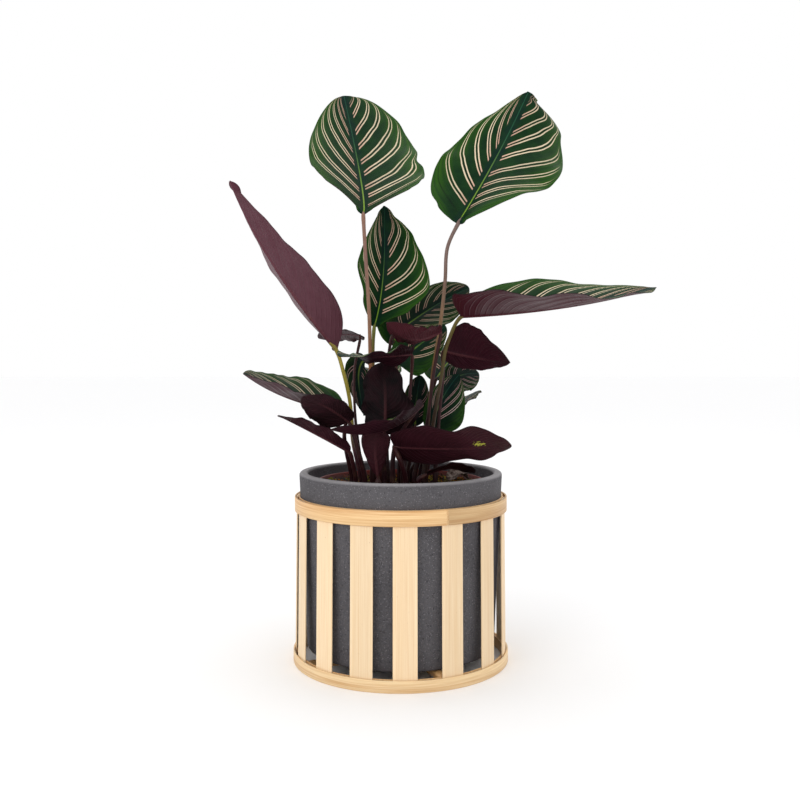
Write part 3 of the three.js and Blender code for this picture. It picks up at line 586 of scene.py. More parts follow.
leaf_upper = Paint("leaf_upper", 0.5, Specular_IOR_Level=0.06)
side_across, along = blade_place(leaf_upper)
across = (side_across * 2 - 1).math("ABSOLUTE")
right = side_across.math("GREATER_THAN", 0.5)
reach, _ = leaf_upper.mark("reach")
pairs, _ = leaf_upper.mark("pairs")
seed, _ = leaf_upper.mark("seed")
vein, _ = leaf_upper.mark("vein")
_, tint = leaf_upper.mark("tint")
waver = leaf_upper.noise(leaf_upper.place(), 60, 2.0) - 0.5
phase = vein * pairs + right * 0.5 + waver * 0.16
cell = phase.math("FLOOR")
number = (cell + seed * 17 + right * 53).math("ROUND")
draw = leaf_upper.node("TexWhiteNoise", noise_dimensions="1D", W=number)
draw = Value(leaf_upper.tree, draw.outputs[0])
apart = (phase.math("FRACT") - (draw - 0.5) * 0.16 - 0.5).math("ABSOLUTE")
off_line = (apart - 0.125).math("ABSOLUTE")
line_half = across * -0.024 + 0.056
line = off_line.over(line_half + 0.02, line_half - 0.02)
line = line * reach.over(draw * 2.2 + 2.6, draw * 2.2 + 3.3)
line = line * across.over(draw * 0.06 + 0.95, draw * 0.06 + 0.86)
line = line * vein.over(0.07, 0.11) * vein.over(0.93, 0.86)
between = apart.over(0.08, 0.0)
feather = leaf_upper.noise(leaf_upper.grain((30, 260, 1)), 1.0, 3.0)
mottle = leaf_upper.noise(leaf_upper.place(), 120, 4.0)
green = leaf_upper.mix(across.over(0.45, 1.0), "#0e2b14", "#2c5214")
green = leaf_upper.mix(apart.over(0.25, 0.5) * 0.5, green, "#0f2c1a")
green = leaf_upper.mix(between * 0.7, green, "#0e1712")
green = leaf_upper.mix(reach.over(7.5, 2.0), green, "#0d2620")
green = leaf_upper.mix(mottle.over(0.3, 0.75) * 0.3, green, "#234a1c")
rib_half = along * -0.9 + 1.25
rib = reach.over(rib_half, rib_half * 0.45)
rib_tone = leaf_upper.mix(along.over(0.05, 0.75), "#86a83c", "#23503a")
cream = leaf_upper.mix(reach.over(3, 16), "#dcb09c", "#eedcbc")
cream = leaf_upper.mix(feather.over(0.35, 0.7) * 0.35, cream, "#a5846e")
shade = leaf_upper.mix(line * (draw * 0.2 + 0.8), green, cream)
shade = leaf_upper.mix(rib, shade, rib_tone)
leaf_upper.finish(leaf_upper.mix(1.0, shade, tint, "MULTIPLY"), mottle * 0.16 + 0.34,
                  feather * 0.4 + apart.over(0.5, 0.3) * 0.5, 0.0003)

leaf_under = Paint("leaf_under", 0.42, Specular_IOR_Level=0.1)
side_across, along = blade_place(leaf_under)
across = (side_across * 2 - 1).math("ABSOLUTE")
reach, _ = leaf_under.mark("reach")
pairs, _ = leaf_under.mark("pairs")
_, tint = leaf_under.mark("tint")
_, wine = leaf_under.mark("wine")
vein, _ = leaf_under.mark("vein")
fold = ((vein * pairs * 3).math("FRACT") - 0.5).math("ABSOLUTE")
mottle = leaf_under.noise(leaf_under.place(), 70, 4.0, 0.6)
fine = leaf_under.noise(leaf_under.place(), 800, 2.0)
shade = leaf_under.mix(mottle.over(0.3, 0.7) * 0.25, wine, "#451a26")
shade = leaf_under.mix(fold.over(0.1, 0.0) * 0.12, shade, "#5f3540")
shade = leaf_under.mix(reach.over(1.6, 0.6) * along.over(0.9, 0.2) * 0.4, shade, "#6a3c40")
shade = leaf_under.mix(across.over(0.955, 0.99) * 0.7, shade, "#1d0d12")
specks, _ = leaf_under.mark("specks")
dots = leaf_under.noise(leaf_under.place((1, 1, 1.6)), 420, 1.0)
shade = leaf_under.mix((dots * 0.5 + specks * 0.38).over(0.57, 0.61), shade, "#9a9a3c")
leaf_under.finish(leaf_under.mix(1.0, shade, tint, "MULTIPLY"), mottle * 0.2 + 0.34,
                  fold.over(0.2, 0.0) + fine * 0.3, 0.0002)

stem_skin = Paint("stem_skin", 0.45, Specular_IOR_Level=0.2)
_, tint = stem_skin.mark("tint")
streak = stem_skin.noise(stem_skin.place((1, 1, 0.08)), 1400, 3.0, 0.6)
patch = stem_skin.noise(stem_skin.place(), 130, 3.0)
shade = stem_skin.mix(streak.over(0.35, 0.7) * 0.3, tint, "#2c1512")
shade = stem_skin.mix(patch.over(0.5, 0.8) * 0.08, shade, "#c09a6a")
stem_skin.finish(shade, patch * 0.2 + 0.3, streak, 0.0001)


def unit(vectors):
    """The same directions, each 1 long."""
    return vectors / np.linalg.norm(vectors, axis=-1, keepdims=True)


def along_rib(row, t):
    """Where the midrib is at t, with its direction, its upper side and its right."""
    base, middle, tip = (np.array(p, dtype=float) for p in row["rib"])
    bend = 2 * middle - (base + tip) / 2
    t = t[..., None]
    point = base * (1 - t) ** 2 + bend * 2 * t * (1 - t) + tip * t ** 2
    forward = unit((bend - base) * (1 - t) + (tip - bend) * t)
    first, last = (unit(np.array(row["face"][n], dtype=float)) for n in (0, -1))
    up = first * (1 - t) + last * t
    up = unit(up - forward * np.sum(up * forward, axis=-1, keepdims=True))
    return point, forward, up, np.cross(forward, up)


def vein_foot(row, t, u, sweep):
    """How far up the midrib a point is, and where the side vein through it leaves the midrib."""
    even = np.linspace(0, 1, 400)
    steps = np.linalg.norm(np.diff(along_rib(row, even)[0], axis=0), axis=1)
    length = np.concatenate([[0], np.cumsum(steps)])
    along = np.interp(t, even, length / length[-1])
    open_to_edge = 1 - np.minimum(u, 0.985)
    low, high = np.full(t.shape, -0.5), along.copy()
    for _ in range(26):
        foot = (low + high) / 2
        past = 1 - (1 - foot) * open_to_edge ** (sweep * np.exp(5 * foot)) > along
        low, high = np.where(past, low, foot), np.where(past, foot, high)
    return along, (low + high) / 2


def blade_sheet(row, t, signed):
    """Points of the blade's middle layer, which way its skin faces, and the reach from the midrib."""
    point, _, up, across = along_rib(row, t)
    u, side = np.abs(signed), np.where(signed < 0, -1.0, 1.0)
    half, low, high, bend, p, q = (np.where(side < 0, a, b) for a, b in zip(row["left"], row["right"]))
    peak = (p / (p + q)) ** p * (q / (p + q)) ** q
    width = half * t ** p * (1 - t) ** q / peak
    for dent_side, at, depth, spread in row["dents"]:
        width = width * np.where(side == dent_side, 1 - depth * np.exp(-((t - at) / spread) ** 2), 1)
    width = np.maximum(width, 0.9)
    settled = np.minimum(1, width / 9)
    rise = np.radians(low + (high - low) * t) * settled
    curl = np.radians(np.where(np.abs(bend) < 0.1, 0.1, bend)) * settled
    out = (np.sin(rise + curl * u) - np.sin(rise)) / curl
    lift = (np.cos(rise) - np.cos(rise + curl * u)) / curl
    tall, count, start = (np.where(side < 0, a, b) for a, b in zip(row["wave_left"], row["wave"]))
    body = np.sqrt(np.sin(np.pi * t).clip(0))
    wave = tall * np.sin(2 * np.pi * (count * t + start + 0.3 * (side > 0))) * u * u * body
    ripple = 0.35 * np.sin(2 * np.pi * (count * 2.7 * t + start + side)) * u ** 4 * body
    turn = rise + curl * u
    where = point + across * (side * width * out)[..., None] + up * (width * lift + wave + ripple)[..., None]
    skin = up * np.cos(turn)[..., None] - across * (side * np.sin(turn))[..., None]
    return where, skin, width * u, side


def through(route, steps):
    """A smooth line through the route's points, evenly stepped."""
    pts = [np.array(p, dtype=float) for p in route]
    pts = [2 * pts[0] - pts[1]] + pts + [2 * pts[-1] - pts[-2]]
    line = []
    for a, b, c, d in zip(pts, pts[1:], pts[2:], pts[3:]):
        knots = [0.0]
        for e, f in ((a, b), (b, c), (c, d)):
            knots.append(knots[-1] + max(np.linalg.norm(f - e), 1e-6) ** 0.5)
        k0, k1, k2, k3 = knots
        for s in np.linspace(k1, k2, 24, endpoint=False):
            ab = a * (k1 - s) / (k1 - k0) + b * (s - k0) / (k1 - k0)
            bc = b * (k2 - s) / (k2 - k1) + c * (s - k1) / (k2 - k1)
            cd = c * (k3 - s) / (k3 - k2) + d * (s - k2) / (k3 - k2)
            abc = ab * (k2 - s) / (k2 - k0) + bc * (s - k0) / (k2 - k0)
            bcd = bc * (k3 - s) / (k3 - k1) + cd * (s - k1) / (k3 - k1)
            line.append(abc * (k2 - s) / (k2 - k1) + bcd * (s - k1) / (k2 - k1))
    line.append(pts[-2])
    line = np.array(line)
    length = np.concatenate([[0], np.cumsum(np.linalg.norm(np.diff(line, axis=0), axis=1))])
    even = np.linspace(0, length[-1], steps)
    return np.stack([np.interp(even, length, line[:, n]) for n in range(3)], axis=1)


def petiole_tube(row, steps=64, sides=12):
    """The leaf stalk: a sheathing foot, a thin stalk and a slightly swollen knee at the blade."""
    x, y = row["petiole"][0]
    joint = along_rib(row, np.array([0.05]))
    inside = joint[0][0] - joint[2][0] * 0.5
    route = [(x, y, STEM_TOP), (x, y, CROWN), *row["petiole"][1:], row["rib"][0], inside]
    line = np.concatenate([[[x, y, ROOTED]], through(route, steps)])
    forward = unit(np.gradient(line, axis=0))
    side = unit(np.cross(forward[0], [0.3, 1.0, 0.2]))
    foot, top = row["girth"]
    points = []
    left = np.linalg.norm(line - line[-1], axis=1)
    for n, (centre, way) in enumerate(zip(line, forward)):
        side = unit(side - way * np.dot(side, way))
        other = np.cross(way, side)
        risen = min(1, max(0, (centre[2] - CROWN) / 60))
        thick = (foot + (top - foot) * risen) * (1 + 0.16 * math.exp(-((left[n] - 9) / 5) ** 2))
        thick *= 0.45 + 0.55 * min(1, left[n] / 6)
        for k in range(sides):
            turn = 2 * math.pi * k / sides
            points.append(centre + (side * math.cos(turn) + other * math.sin(turn)) * thick)
    share = np.repeat(np.linspace(0, 1, steps + 1), sides)
    stops = np.linspace(0, 1, len(row["stem"]))
    tones = np.array([hue(c) for c in row["stem"]])
    colours = np.stack([np.interp(share, stops, tones[:, n]) for n in range(4)], axis=1)
    return np.array(points), loft(steps + 1, sides), colours


def sheet_faces(rows, wide):
    """Faces of a closed sheet's two skins and its rim, and the points round the rim."""
    count = (rows + 1) * wide
    at = np.arange(count).reshape(rows + 1, wide)
    a, b, c, d = at[:-1, :-1].ravel(), at[:-1, 1:].ravel(), at[1:, 1:].ravel(), at[1:, :-1].ravel()
    top = np.stack([a, b, c, d], axis=1)
    bottom = np.stack([a, d, c, b], axis=1) + count
    rim = np.concatenate([at[:, 0], at[-1, 1:], at[::-1, -1][1:], at[0, ::-1][1:-1]])
    after = np.roll(rim, -1)
    walls = np.stack([rim, after, after + count, rim + count], axis=1)
    return top, bottom, walls, rim


def crisp_rim(mesh, rim, count):
    """Keeps a sheet's edge sharp where each skin meets the rim."""
    ends = np.empty(len(mesh.edges) * 2, dtype=np.int32)
    mesh.edges.foreach_get("vertices", ends)
    ends = ends.reshape(-1, 2)
    on_rim = np.zeros(len(mesh.vertices), dtype=bool)
    on_rim[rim] = on_rim[rim + count] = True
    same_skin = (ends[:, 0] < count) == (ends[:, 1] < count)
    sharp = mesh.attributes.new("sharp_edge", "BOOLEAN", "EDGE")
    sharp.data.foreach_set("value", on_rim[ends[:, 0]] & on_rim[ends[:, 1]] & same_skin)


def leaf(place, rib, face, left, right, wave=(1, 3, 0), petiole=None, girth=(2.3, 1.45),
         wave_left=None, dents=(), pairs=8, pleat=0.2, fine=False, sweep=(0.06, 0.06), light=1.0,
         wine="#381820", speckled=False, stem=STEM_TONES):
    """A whole leaf: its blade with both skins and a raised midrib, and its petiole.

    rib holds the midrib's base, middle and tip, and face the upper side at one or both ends. left
    and right hold a half's width, its rise at base and tip, its curl, and the swell to each end.
    wave is a height, a number and a start, and a dent a side, a place, a depth and a length.
    The petiole runs through its points from the soil, and girth is its radius at foot and top.
    """
    row = {"rib": rib, "face": face, "left": left, "right": right, "wave": wave,
           "wave_left": wave_left or wave, "dents": dents, "petiole": petiole, "girth": girth, "stem": stem}
    rows, columns = (120, 22) if fine else (64, 13)
    t = (1 - np.cos(np.pi * np.arange(rows + 1) / rows)) / 2
    signed = np.arange(-columns, columns + 1) / columns
    signed = np.sign(signed) * np.abs(signed) ** 1.3
    t, signed = np.meshgrid(t, signed, indexing="ij")
    where, skin, reach, side = blade_sheet(row, t, signed)
    u = np.abs(signed)
    along, vein = vein_foot(row, t, u, np.where(side < 0, *sweep))
    relief = pleat * np.cos(2 * np.pi * (vein * pairs + 0.5 * (side > 0))) * (4 * u * (1 - u)) ** 0.7
    relief = relief * np.sin(np.pi * t).clip(0) ** 0.5
    thick = BLADE_THICK / 2 * (1 - 0.45 * u ** 8)
    groove = 0.25 * np.exp(-(reach / 0.9) ** 2) * (1 - 0.7 * t)
    ridge = 1.1 * np.exp(-(reach / 1.0) ** 2) * (1 - t) ** 0.8
    upper = where + skin * (relief + thick - groove)[..., None]
    lower = where + skin * (relief - thick - ridge)[..., None]
    points = np.concatenate([upper.reshape(-1, 3), lower.reshape(-1, 3)])
    top, bottom, walls, rim = sheet_faces(rows, 2 * columns + 1)
    faces = [*top, *bottom, *walls]
    chosen = [0] * len(top) + [1] * (len(bottom) + len(walls))
    flat = np.stack([signed.ravel() / 2 + 0.5, along.ravel()], axis=1)
    unrolled = np.concatenate([flat, flat])
    # Painted shade: light darkens the whole leaf, or tints it blue-grey, where it lies deep in the plant.
    shade = np.full((len(points), 4), light)
    shade[:, 3] = 1
    patch = np.exp(-(((t - 0.74) / 0.12) ** 2) - ((signed - 0.2) / 0.22) ** 2) * speckled
    marks = {"reach": reach, "vein": vein, "specks": patch}
    marks = {key: np.tile(values.ravel(), 2) for key, values in marks.items()}
    if petiole:
        tube, tube_faces, colours = petiole_tube(row)
        faces += [tuple(k + len(points) for k in f) for f in tube_faces]
        chosen += [2] * len(tube_faces)
        points = np.concatenate([points, tube])
        unrolled = np.concatenate([unrolled, np.zeros((len(tube), 2))])
        shade = np.concatenate([shade, colours])
        marks = {key: np.concatenate([values, np.zeros(len(tube))]) for key, values in marks.items()}
    marks["pairs"] = np.full(len(points), float(pairs))
    marks["seed"] = np.full(len(points), len(place) + rib[0][0])
    marks["tint"] = shade
    marks["wine"] = np.tile(hue(wine), (len(points), 1))
    made = piece(place + "_leaf", "leaf_" + place, points, faces,
                 [leaf_upper.material, leaf_under.material, stem_skin.material], chosen, unrolled, marks)
    crisp_rim(made.data, rim, t.size)
    return made


leaf("top_left", rib=[(-32, -2, 384), (-36.5, 46, 424), (-54, 92, 510)],
     face=[(-0.1, -0.75, 0.65), (0.05, -0.8, 0.55)], left=(50.5, 52, 10, 0, 0.55, 0.6),
     right=(58, 25, -15, 0, 0.28, 0.3), wave=(1.5, 3, 0.2),
     petiole=[(-24, -4), (-25, -4, 205), (-26, -5, 250), (-27, -9, 300), (-30, -10, 350)],
     girth=(2.8, 1.6), pairs=10, fine=True,
     dents=[(1, 0.86, -0.04, 0.05), (1, 0.56, 0.07, 0.05), (1, 0.14, 0.05, 0.03), (1, 0.04, 0.12, 0.03)],
     sweep=(0.11, 0.045), stem=("#2a1010", "#4a2226", "#9a6440", "#a07a62", "#86645a", "#8c6a58"))
leaf("top_right", rib=[(49, -6, 375), (84.5, 26, 437.5), (114, 36, 498)],
     face=[(-0.1, -0.9, 0.45), (-0.05, -0.95, 0.3)], left=(43, 16, -10, 0, 0.4, 0.9),
     right=(59, 65, -30, -40, 0.5, 0.35), wave=(2.4, 3, 0.26),
     petiole=[(21, 3), (24, 5, 205), (28, 4, 248), (34, -1, 288), (38, -5, 326), (40, -6, 355)],
     girth=(2.8, 1.6), pairs=10,
     dents=[(1, 0.978, 0.5, 0.018), (1, 0.91, -0.14, 0.05), (-1, 0.05, 0.1, 0.02)], fine=True,
     sweep=(0.08, 0.06), stem=("#24100e", "#3a201a", "#7a5630", "#87694c", "#7f6860", "#7a6660"))

# Middle leaf
# A younger upright leaf at the centre, its stripes pink next to a midrib that is
# bright green at the base. The tall left petiole passes just in front of it.
leaf("middle", rib=[(-23, 8, 288), (-15.8, 33, 335), (-15, 42, 398)],
     face=[(-0.1, -0.95, 0.3), (0.1, -0.95, 0.25)], left=(37, 62, 42, 0, 0.5, 0.85),
     right=(45, 30, -8, 0, 0.35, 0.75), wave=(1.5, 3, 0), petiole=[(-17, 8), (-20, 8, 210), (-24, 7, 255)],
     pairs=9,
     dents=[(-1, 0.22, 0.3, 0.16), (1, 0.15, 0.17, 0.1), (1, 0.02, 0.5, 0.04), (1, 0.83, -0.1, 0.05),
            (1, 0.94, 0.2, 0.03)], fine=True, stem=("#3a1518", "#5a2a24", "#6e4a2a", "#6f7a34"))

# High left leaf
# A long leaf folded along its midrib and pointing up to the left, so that only its
# wine-coloured underside shows. Its petiole is yellow-green above and purple below.
leaf("high_left", rib=[(-54, -22, 267), (-101, -60, 334), (-136, -58, 401)],
     face=[(0.25, 0.9, 0.4), (0.15, 0.75, 0.65)], left=(46, 80, 95, 0, 0.25, 0.8),
     right=(44, 55, 55, 0, 0.4, 0.7), wave=(1.5, 3, 0),
     petiole=[(-33, -14), (-40, -18, 190), (-43, -21, 225), (-48, -22, 248)], girth=(2.8, 1.6), fine=True,
     wine="#5e3842", stem=("#2a1016", "#4a2630", "#a39334", "#a89a40", "#938440"))

# Long right leaf
# The long leaf held out level to the right. Its near half hangs and shows the wine
# underside with side-vein ripples, and its striped upper side shows above it.
leaf("long_right", rib=[(52, -6, 296), (140, -28, 303.4), (215, -18, 320)],
     face=[(0, -0.2, 1), (-0.05, -0.05, 1)], left=(47, 38, 14, 0, 0.4, 0.7),
     right=(54, 33, -4, 0, 0.28, 0.85), wave=(2.2, 3.4, 0.27),
     petiole=[(20, -8), (28, -9, 205), (35, -11, 246), (39, -11, 270)], girth=(2.8, 1.6),
     wave_left=(1, 2, 0.45), dents=[(1, 0.03, -0.2, 0.03)], pairs=12, pleat=0.45, fine=True,
     wine="#3f141e", stem=("#22100e", "#2c1a14", "#3c2f1c", "#5c5228", "#6a5f2c"))

# Low left leaves
# Four leaves that spread low to the left and the front, over the planter's rim. The
# largest shows stripes on its upper side, and the others mostly their undersides.
# Painted shade: the largest leaf is darkened to four fifths.
leaf("low_left", rib=[(-46, -27, 216), (-91, -42, 227.5), (-126, -60, 248)],
     face=[(0, -0.15, 1), (0, -0.2, 1)], left=(36, 26, 16, 0, 0.36, 0.62),
     right=(46, 18, 18, 0, 0.3, 0.68), wave=(1.2, 3, 0), petiole=[(-42, -5), (-48, -14, 192)],
     dents=[(1, 0.66, 0.15, 0.1), (-1, 0.42, 0.25, 0.1)], pairs=10, pleat=0.3, fine=True, light=0.8,
     wine="#4a2630")
leaf("lobe_left", rib=[(-43, -38, 208), (-59, -68, 222), (-75, -96, 231)], face=[(0, 0.8, 0.6)],
     left=(13, 0, 3, 0, 0.4, 0.55), right=(19, -8, 4, 0, 0.3, 0.7), petiole=[(-30, -24), (-36, -31, 185)],
     wine="#2b191e")
leaf("narrow_left", rib=[(-43, -34, 183), (-71, -58, 201), (-95, -84, 216)], face=[(0, 0.3, 0.95)],
     left=(12, 18, 16, 0, 0.47, 0.7), right=(16, 30, 30, 0, 0.5, 0.7),
     petiole=[(-38, -22), (-40, -28, 172)], girth=(1.9, 1.2), wine="#2b131a")
leaf("front_droop", rib=[(18, -24, 221), (-16, -50, 201), (-55, -80, 205)],
     face=[(-0.15, 0.5, 0.85), (0, 0.2, 1)], left=(30, 4, 14, 0, 0.42, 0.45),
     right=(14, 40, 30, 0, 0.5, 0.6), wave=(1.5, 3, 0), petiole=[(-7, -21), (-5, -23, 185), (6, -24, 207)],
     wine="#261118")

# Low right leaves
# A broad leaf arching out over the rim at the front right, with a spotted yellow
# patch on its underside, and a small one below it near the soil, painted darker
# as shade.
leaf("low_right", rib=[(-5, -34, 187), (44, -60, 188), (86, -83, 193)],
     face=[(0, 0.7, 0.71), (0.04, 0.66, 0.75)], left=(20, -4, 0, 0, 0.1, 0.5),
     right=(29, 0, 0, 0, 0.24, 0.35), wave=(2, 2, 0.3), petiole=[(4, -25), (1, -31, 172)],
     dents=[(1, 0.78, -0.14, 0.1), (1, 0.57, 0.08, 0.06), (1, 0.94, 0.14, 0.04), (-1, 0.84, 0.18, 0.04),
            (-1, 0.7, -0.08, 0.06)], wine="#2b1218", speckled=True)
leaf("low_dark", rib=[(22, -29, 163), (42, -25, 168), (63, -15, 163)], face=[(0, 0.3, 0.95)],
     left=(13, 6, 6, 0, 0.5, 0.6), right=(14, 6, 6, 0, 0.5, 0.6), wave=(0.8, 2, 0), petiole=[(15, -27)],
     girth=(1.9, 1.2), light=0.6)

# Right leaves
# Leaves that fill the right side behind the long petioles. Two show their undersides
# to the front, and two stand up with their stripes to it, painted darker and
# bluer as shade.
leaf("mid_right", rib=[(37, 10, 267), (64, 1, 261), (92, -21, 257)], face=[(0, 0.92, 0.4), (0, 0.8, 0.6)],
     left=(13, 0, 0, 0, 0.4, 0.7), right=(31, 4, 6, 0, 0.42, 0.58),
     petiole=[(30, -3), (33, 1, 205), (37, 4, 248)], pleat=0.3, wine="#2d0f18")
leaf("upright_right", rib=[(27, 14, 195), (35, 17, 221), (52, 23, 246)], face=[(0, -0.98, 0.2)],
     left=(12, 10, 10, 0, 0.5, 0.6), right=(25, 9, 9, 0, 0.37, 0.68), petiole=[(22, 15), (26, 14, 175)],
     pairs=8, sweep=(0.2, 0.3), light=(0.8, 0.76, 1.0, 1))
leaf("behind_right", rib=[(37, 26, 236), (55, 38, 245), (72, 50, 246)],
     face=[(0, -0.8, 0.6), (0, -0.85, 0.5)], left=(14, 0, 0, 0, 0.5, 0.6), right=(18, 0, 0, 0, 0.4, 0.6),
     petiole=[(18, 24), (24, 24, 190), (31, 25, 218)], pairs=7, light=(0.5, 0.47, 0.62, 1))
leaf("small_behind", rib=[(44, 40, 210), (59, 60, 221), (73, 80, 229)], face=[(0, 0.4, 0.9)],
     left=(15, 0, 0, 0, 0.5, 0.6), right=(15, 0, 0, 0, 0.5, 0.6),
     petiole=[(9, 31), (22, 34, 178), (35, 37, 200)], girth=(1.9, 1.2))

# Centre leaves
# The crowded heart of the plant: dark and crimson undersides to the front, the one
# at the core painted near-black as shade, and striped leaves that show between
# them from behind, most of them painted darker as shade.
leaf("crimson", rib=[(34, -15, 283), (8, -36, 276), (-11, -55, 289)],
     face=[(0.04, 0.58, 0.81), (0, 0.57, 0.82)], left=(19, 4, 5, 0, 0.38, 0.48),
     right=(8, 4, 2, 0, 0.4, 0.62), wave=(1, 4, 0),
     petiole=[(12, -2), (23, -4, 205), (28, -6, 245), (31, -9, 264)], wine="#461e25")
leaf("dark_front", rib=[(9, -22, 264), (-18, -41, 262), (-49, -64, 262)],
     face=[(0, 0.55, 0.84), (0, -0.3, 1)], left=(22, 4, 12, 0, 0.4, 0.5), right=(24, -7, 8, 0, 0.38, 0.5),
     wave=(2.2, 3, 0.1), petiole=[(2, -9), (6, -9, 210), (9, -12, 244)], wine="#220d14")
leaf("narrow_behind", rib=[(-36, 26, 281), (-54, 44, 282), (-76, 60, 279)], face=[(0, 0.45, 0.9)],
     left=(16, 0, 0, 0, 0.5, 0.6), right=(16, 0, 0, 0, 0.5, 0.6),
     petiole=[(-34, 12), (-40, 18, 205), (-41, 22, 250)], girth=(1.9, 1.2))
leaf("hanging", rib=[(-32, 36, 259), (-38.5, 45, 243), (-33, 43, 208)],
     face=[(-0.2, -0.9, 0.3), (0, -1, 0)], left=(9, 10, 10, 0, 0.5, 0.8), right=(13, 10, 10, 0, 0.45, 0.9),
     petiole=[(-24, 24), (-22, 31, 205), (-25, 36, 250)], pairs=6, light=(0.4, 0.36, 0.46, 1))
leaf("striped_centre", rib=[(-3, 12, 256), (11, 15, 268), (40, 22, 289)], face=[(0, -0.93, 0.37)],
     left=(16, 10, 10, 0, 0.5, 0.6), right=(23, 0, 0, 0, 0.36, 0.58),
     petiole=[(0, 11), (-3, 10, 205), (-5, 10, 235)], pairs=8, sweep=(0.2, 0.3), light=0.78)
leaf("behind_middle", rib=[(-7, 34, 281), (32, 60, 309), (64, 66, 326)],
     face=[(-0.03, -0.88, 0.48), (-0.03, -0.84, 0.54)], left=(25, 3, -8, 0, 0.43, 0.62),
     right=(27, 10, 20, 0, 0.54, 0.6), petiole=[(-12, 21), (-13, 25, 200), (-12, 30, 250)], pairs=10,
     fine=True, light=0.6)
leaf("core_small", rib=[(13, 20, 200), (14, 25, 222), (18, 29, 245)], face=[(0, -0.98, 0.2)],
     left=(12, 10, 10, 0, 0.5, 0.6), right=(12, 10, 10, 0, 0.5, 0.6), wave=(0.5, 3, 0),
     petiole=[(6, 18), (10, 18, 180)], girth=(1.9, 1.2), pairs=6, light=(0.48, 0.42, 0.56, 1))
# Painted shade: a near-black underside for the shade at the heart of the plant.
leaf("core_dark", rib=[(-14, -17, 196), (-13, -18, 226), (-15, -11, 257)], face=[(0, 1, 0.1)],
     left=(26, 8, 8, 0, 0.3, 0.6), right=(22, 8, 8, 0, 0.35, 0.4), petiole=[(-14, -7), (-14, -9, 178)],
     dents=[(-1, 0.62, 0.3, 0.16), (-1, 0.3, -0.12, 0.1), (1, 0.55, 0.18, 0.14), (1, 0.25, 0.15, 0.08)],
     wine="#080305")

# Back leaves
# Four leaves that the front of the plant hides, spread to the back so that it is
# just as full from behind.
leaf("back_tall", rib=[(-6, 56, 272), (-1, 86, 332), (-4, 122, 388)], face=[(0, -0.75, 0.65)],
     left=(24, 10, 5, 0, 0.45, 0.65), right=(24, 10, 5, 0, 0.4, 0.6), wave=(1.2, 3, 0.4),
     petiole=[(-1, 33), (-1, 42, 205), (-4, 52, 245)], pairs=9)
leaf("back_right", rib=[(32, 50, 240), (58, 92, 268), (80, 130, 270)],
     face=[(-0.1, -0.1, 1), (0.05, 0.05, 1)], left=(26, 12, 4, 0, 0.45, 0.65),
     right=(26, 8, 2, 0, 0.4, 0.6), wave=(1.2, 3, 0.1), petiole=[(20, 38), (24, 44, 190), (28, 47, 220)],
     pairs=9)
leaf("back_middle", rib=[(-20, 50, 235), (-25, 88, 250), (-28, 128, 240)],
     face=[(0, -0.1, 1), (0, 0.2, 1)], left=(26, 10, 4, 0, 0.45, 0.65), right=(25, 10, 2, 0, 0.4, 0.6),
     wave=(1.2, 3, 0.6), petiole=[(-12, 42), (-18, 46, 190), (-20, 49, 215)], pairs=9)
leaf("back_low", rib=[(12, 52, 202), (22, 90, 217), (30, 126, 209)], face=[(0, -0.1, 1), (0, 0.2, 1)],
     left=(22, 10, 4, 0, 0.45, 0.65), right=(22, 10, 2, 0, 0.4, 0.6), wave=(1.2, 3, 0.3),
     petiole=[(6, 43), (9, 48, 180)], pairs=8)

# Young sheath
# A new leaf at the front of the crown, dark wine red and still rolled in on itself.
# It grows straight from the soil on a short stalk.
leaf("young_sheath", rib=[(-19, -32, 161), (-21, -34, 181), (-21, -35, 199)], face=[(0, 0.95, 0.1)],
     left=(14, 10, 10, 30, 0.9, 0.24), right=(13, 10, 10, 30, 0.9, 0.24), wave=(0.6, 2, 0),
     petiole=[(-19, -31.5)], wine="#35131a")

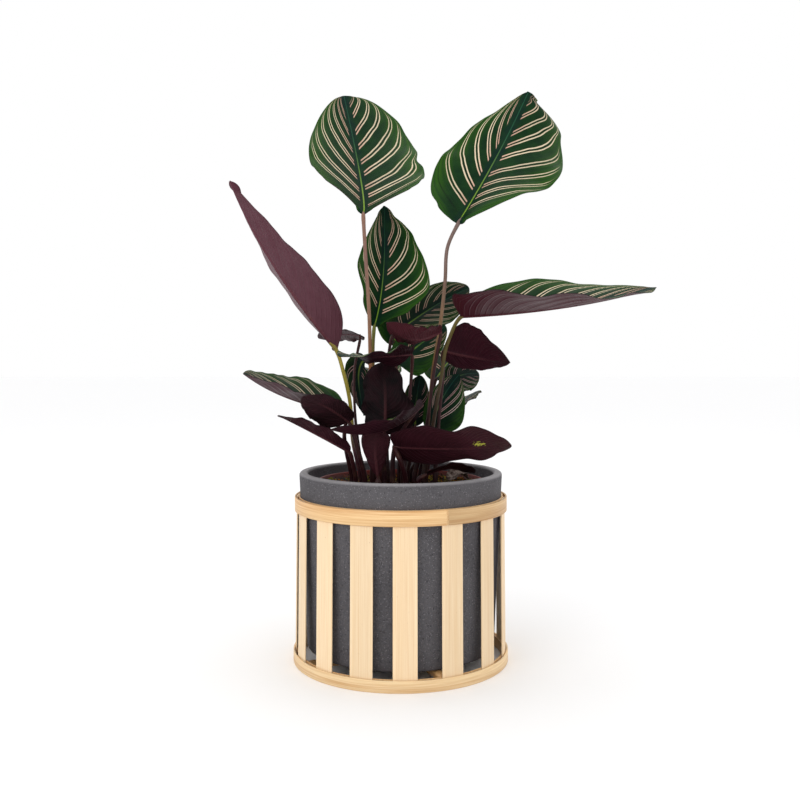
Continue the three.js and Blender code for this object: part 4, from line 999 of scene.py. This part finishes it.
# Dry leaf
# A fallen scrap of leaf lying on the soil at the right, dried grey-brown and curled.
# It has no petiole, and one dry skin covers both its sides.
dry = leaf("dry", rib=[(42, 12, 153), (52, 18, 158), (60, 23, 153)], face=[(0.2, -0.2, 0.95)],
           left=(8, 10, 10, 40, 0.5, 0.6), right=(8, 10, 10, 40, 0.5, 0.6), wave=(0.6, 3, 0), pleat=0.3)
dry_skin = Paint("dry_skin", 0.85, Specular_IOR_Level=0.2)
crease = dry_skin.noise(dry_skin.place(), 260, 5.0, 0.7)
dry_skin.finish(dry_skin.mix(crease.over(0.35, 0.7), "#3a2a24", "#8f8078"), None, crease, 0.0008)
for index in range(2):
    dry.data.materials[index] = dry_skin.material

# Floor and light
# A plain white floor in a bright even surround, as in a product studio, with one
# soft panel at the front left and a larger one overhead.
FLOOR_WHITE = (0.985, 0.985, 0.99, 1)
FLOOR_HALF = 12.0

floor_paint = Paint("floor_white", 0.9, Specular_IOR_Level=0.1)
floor_paint.surface.inputs["Base Color"].default_value = FLOOR_WHITE
floor_mesh = bpy.data.meshes.new("floor")
corners = [(-1, -1), (1, -1), (1, 1), (-1, 1)]
floor_mesh.from_pydata([(a * FLOOR_HALF, b * FLOOR_HALF, 0) for a, b in corners], [], [(0, 1, 2, 3)])
floor_mesh.materials.append(floor_paint.material)
floor = bpy.data.objects.new("floor", floor_mesh)
bpy.context.scene.collection.objects.link(floor)


def soft_light(name, spot, aim, size, power):
    """A square studio panel at spot, turned to aim."""
    panel = bpy.data.lights.new(name, "AREA")
    panel.shape, panel.size, panel.energy = "SQUARE", size, power
    lamp = bpy.data.objects.new(name, panel)
    lamp.location = spot
    lamp.rotation_euler = (Vector(aim) - Vector(spot)).to_track_quat("-Z", "Y").to_euler()
    bpy.context.scene.collection.objects.link(lamp)


soft_light("key_panel", (-0.95, -1.25, 0.9), (0, 0, 0.25), 0.9, 5)
soft_light("top_panel", (0.1, 0.5, 1.9), (0, 0, 0.2), 1.2, 4)

surround = bpy.data.worlds.new("surround")
bpy.context.scene.world = surround
surround.use_nodes = True
surround.node_tree.nodes["Background"].inputs["Color"].default_value = (1, 1, 1, 1)
surround.node_tree.nodes["Background"].inputs["Strength"].default_value = 1.0
bpy.context.scene.view_settings.view_transform = "Standard"
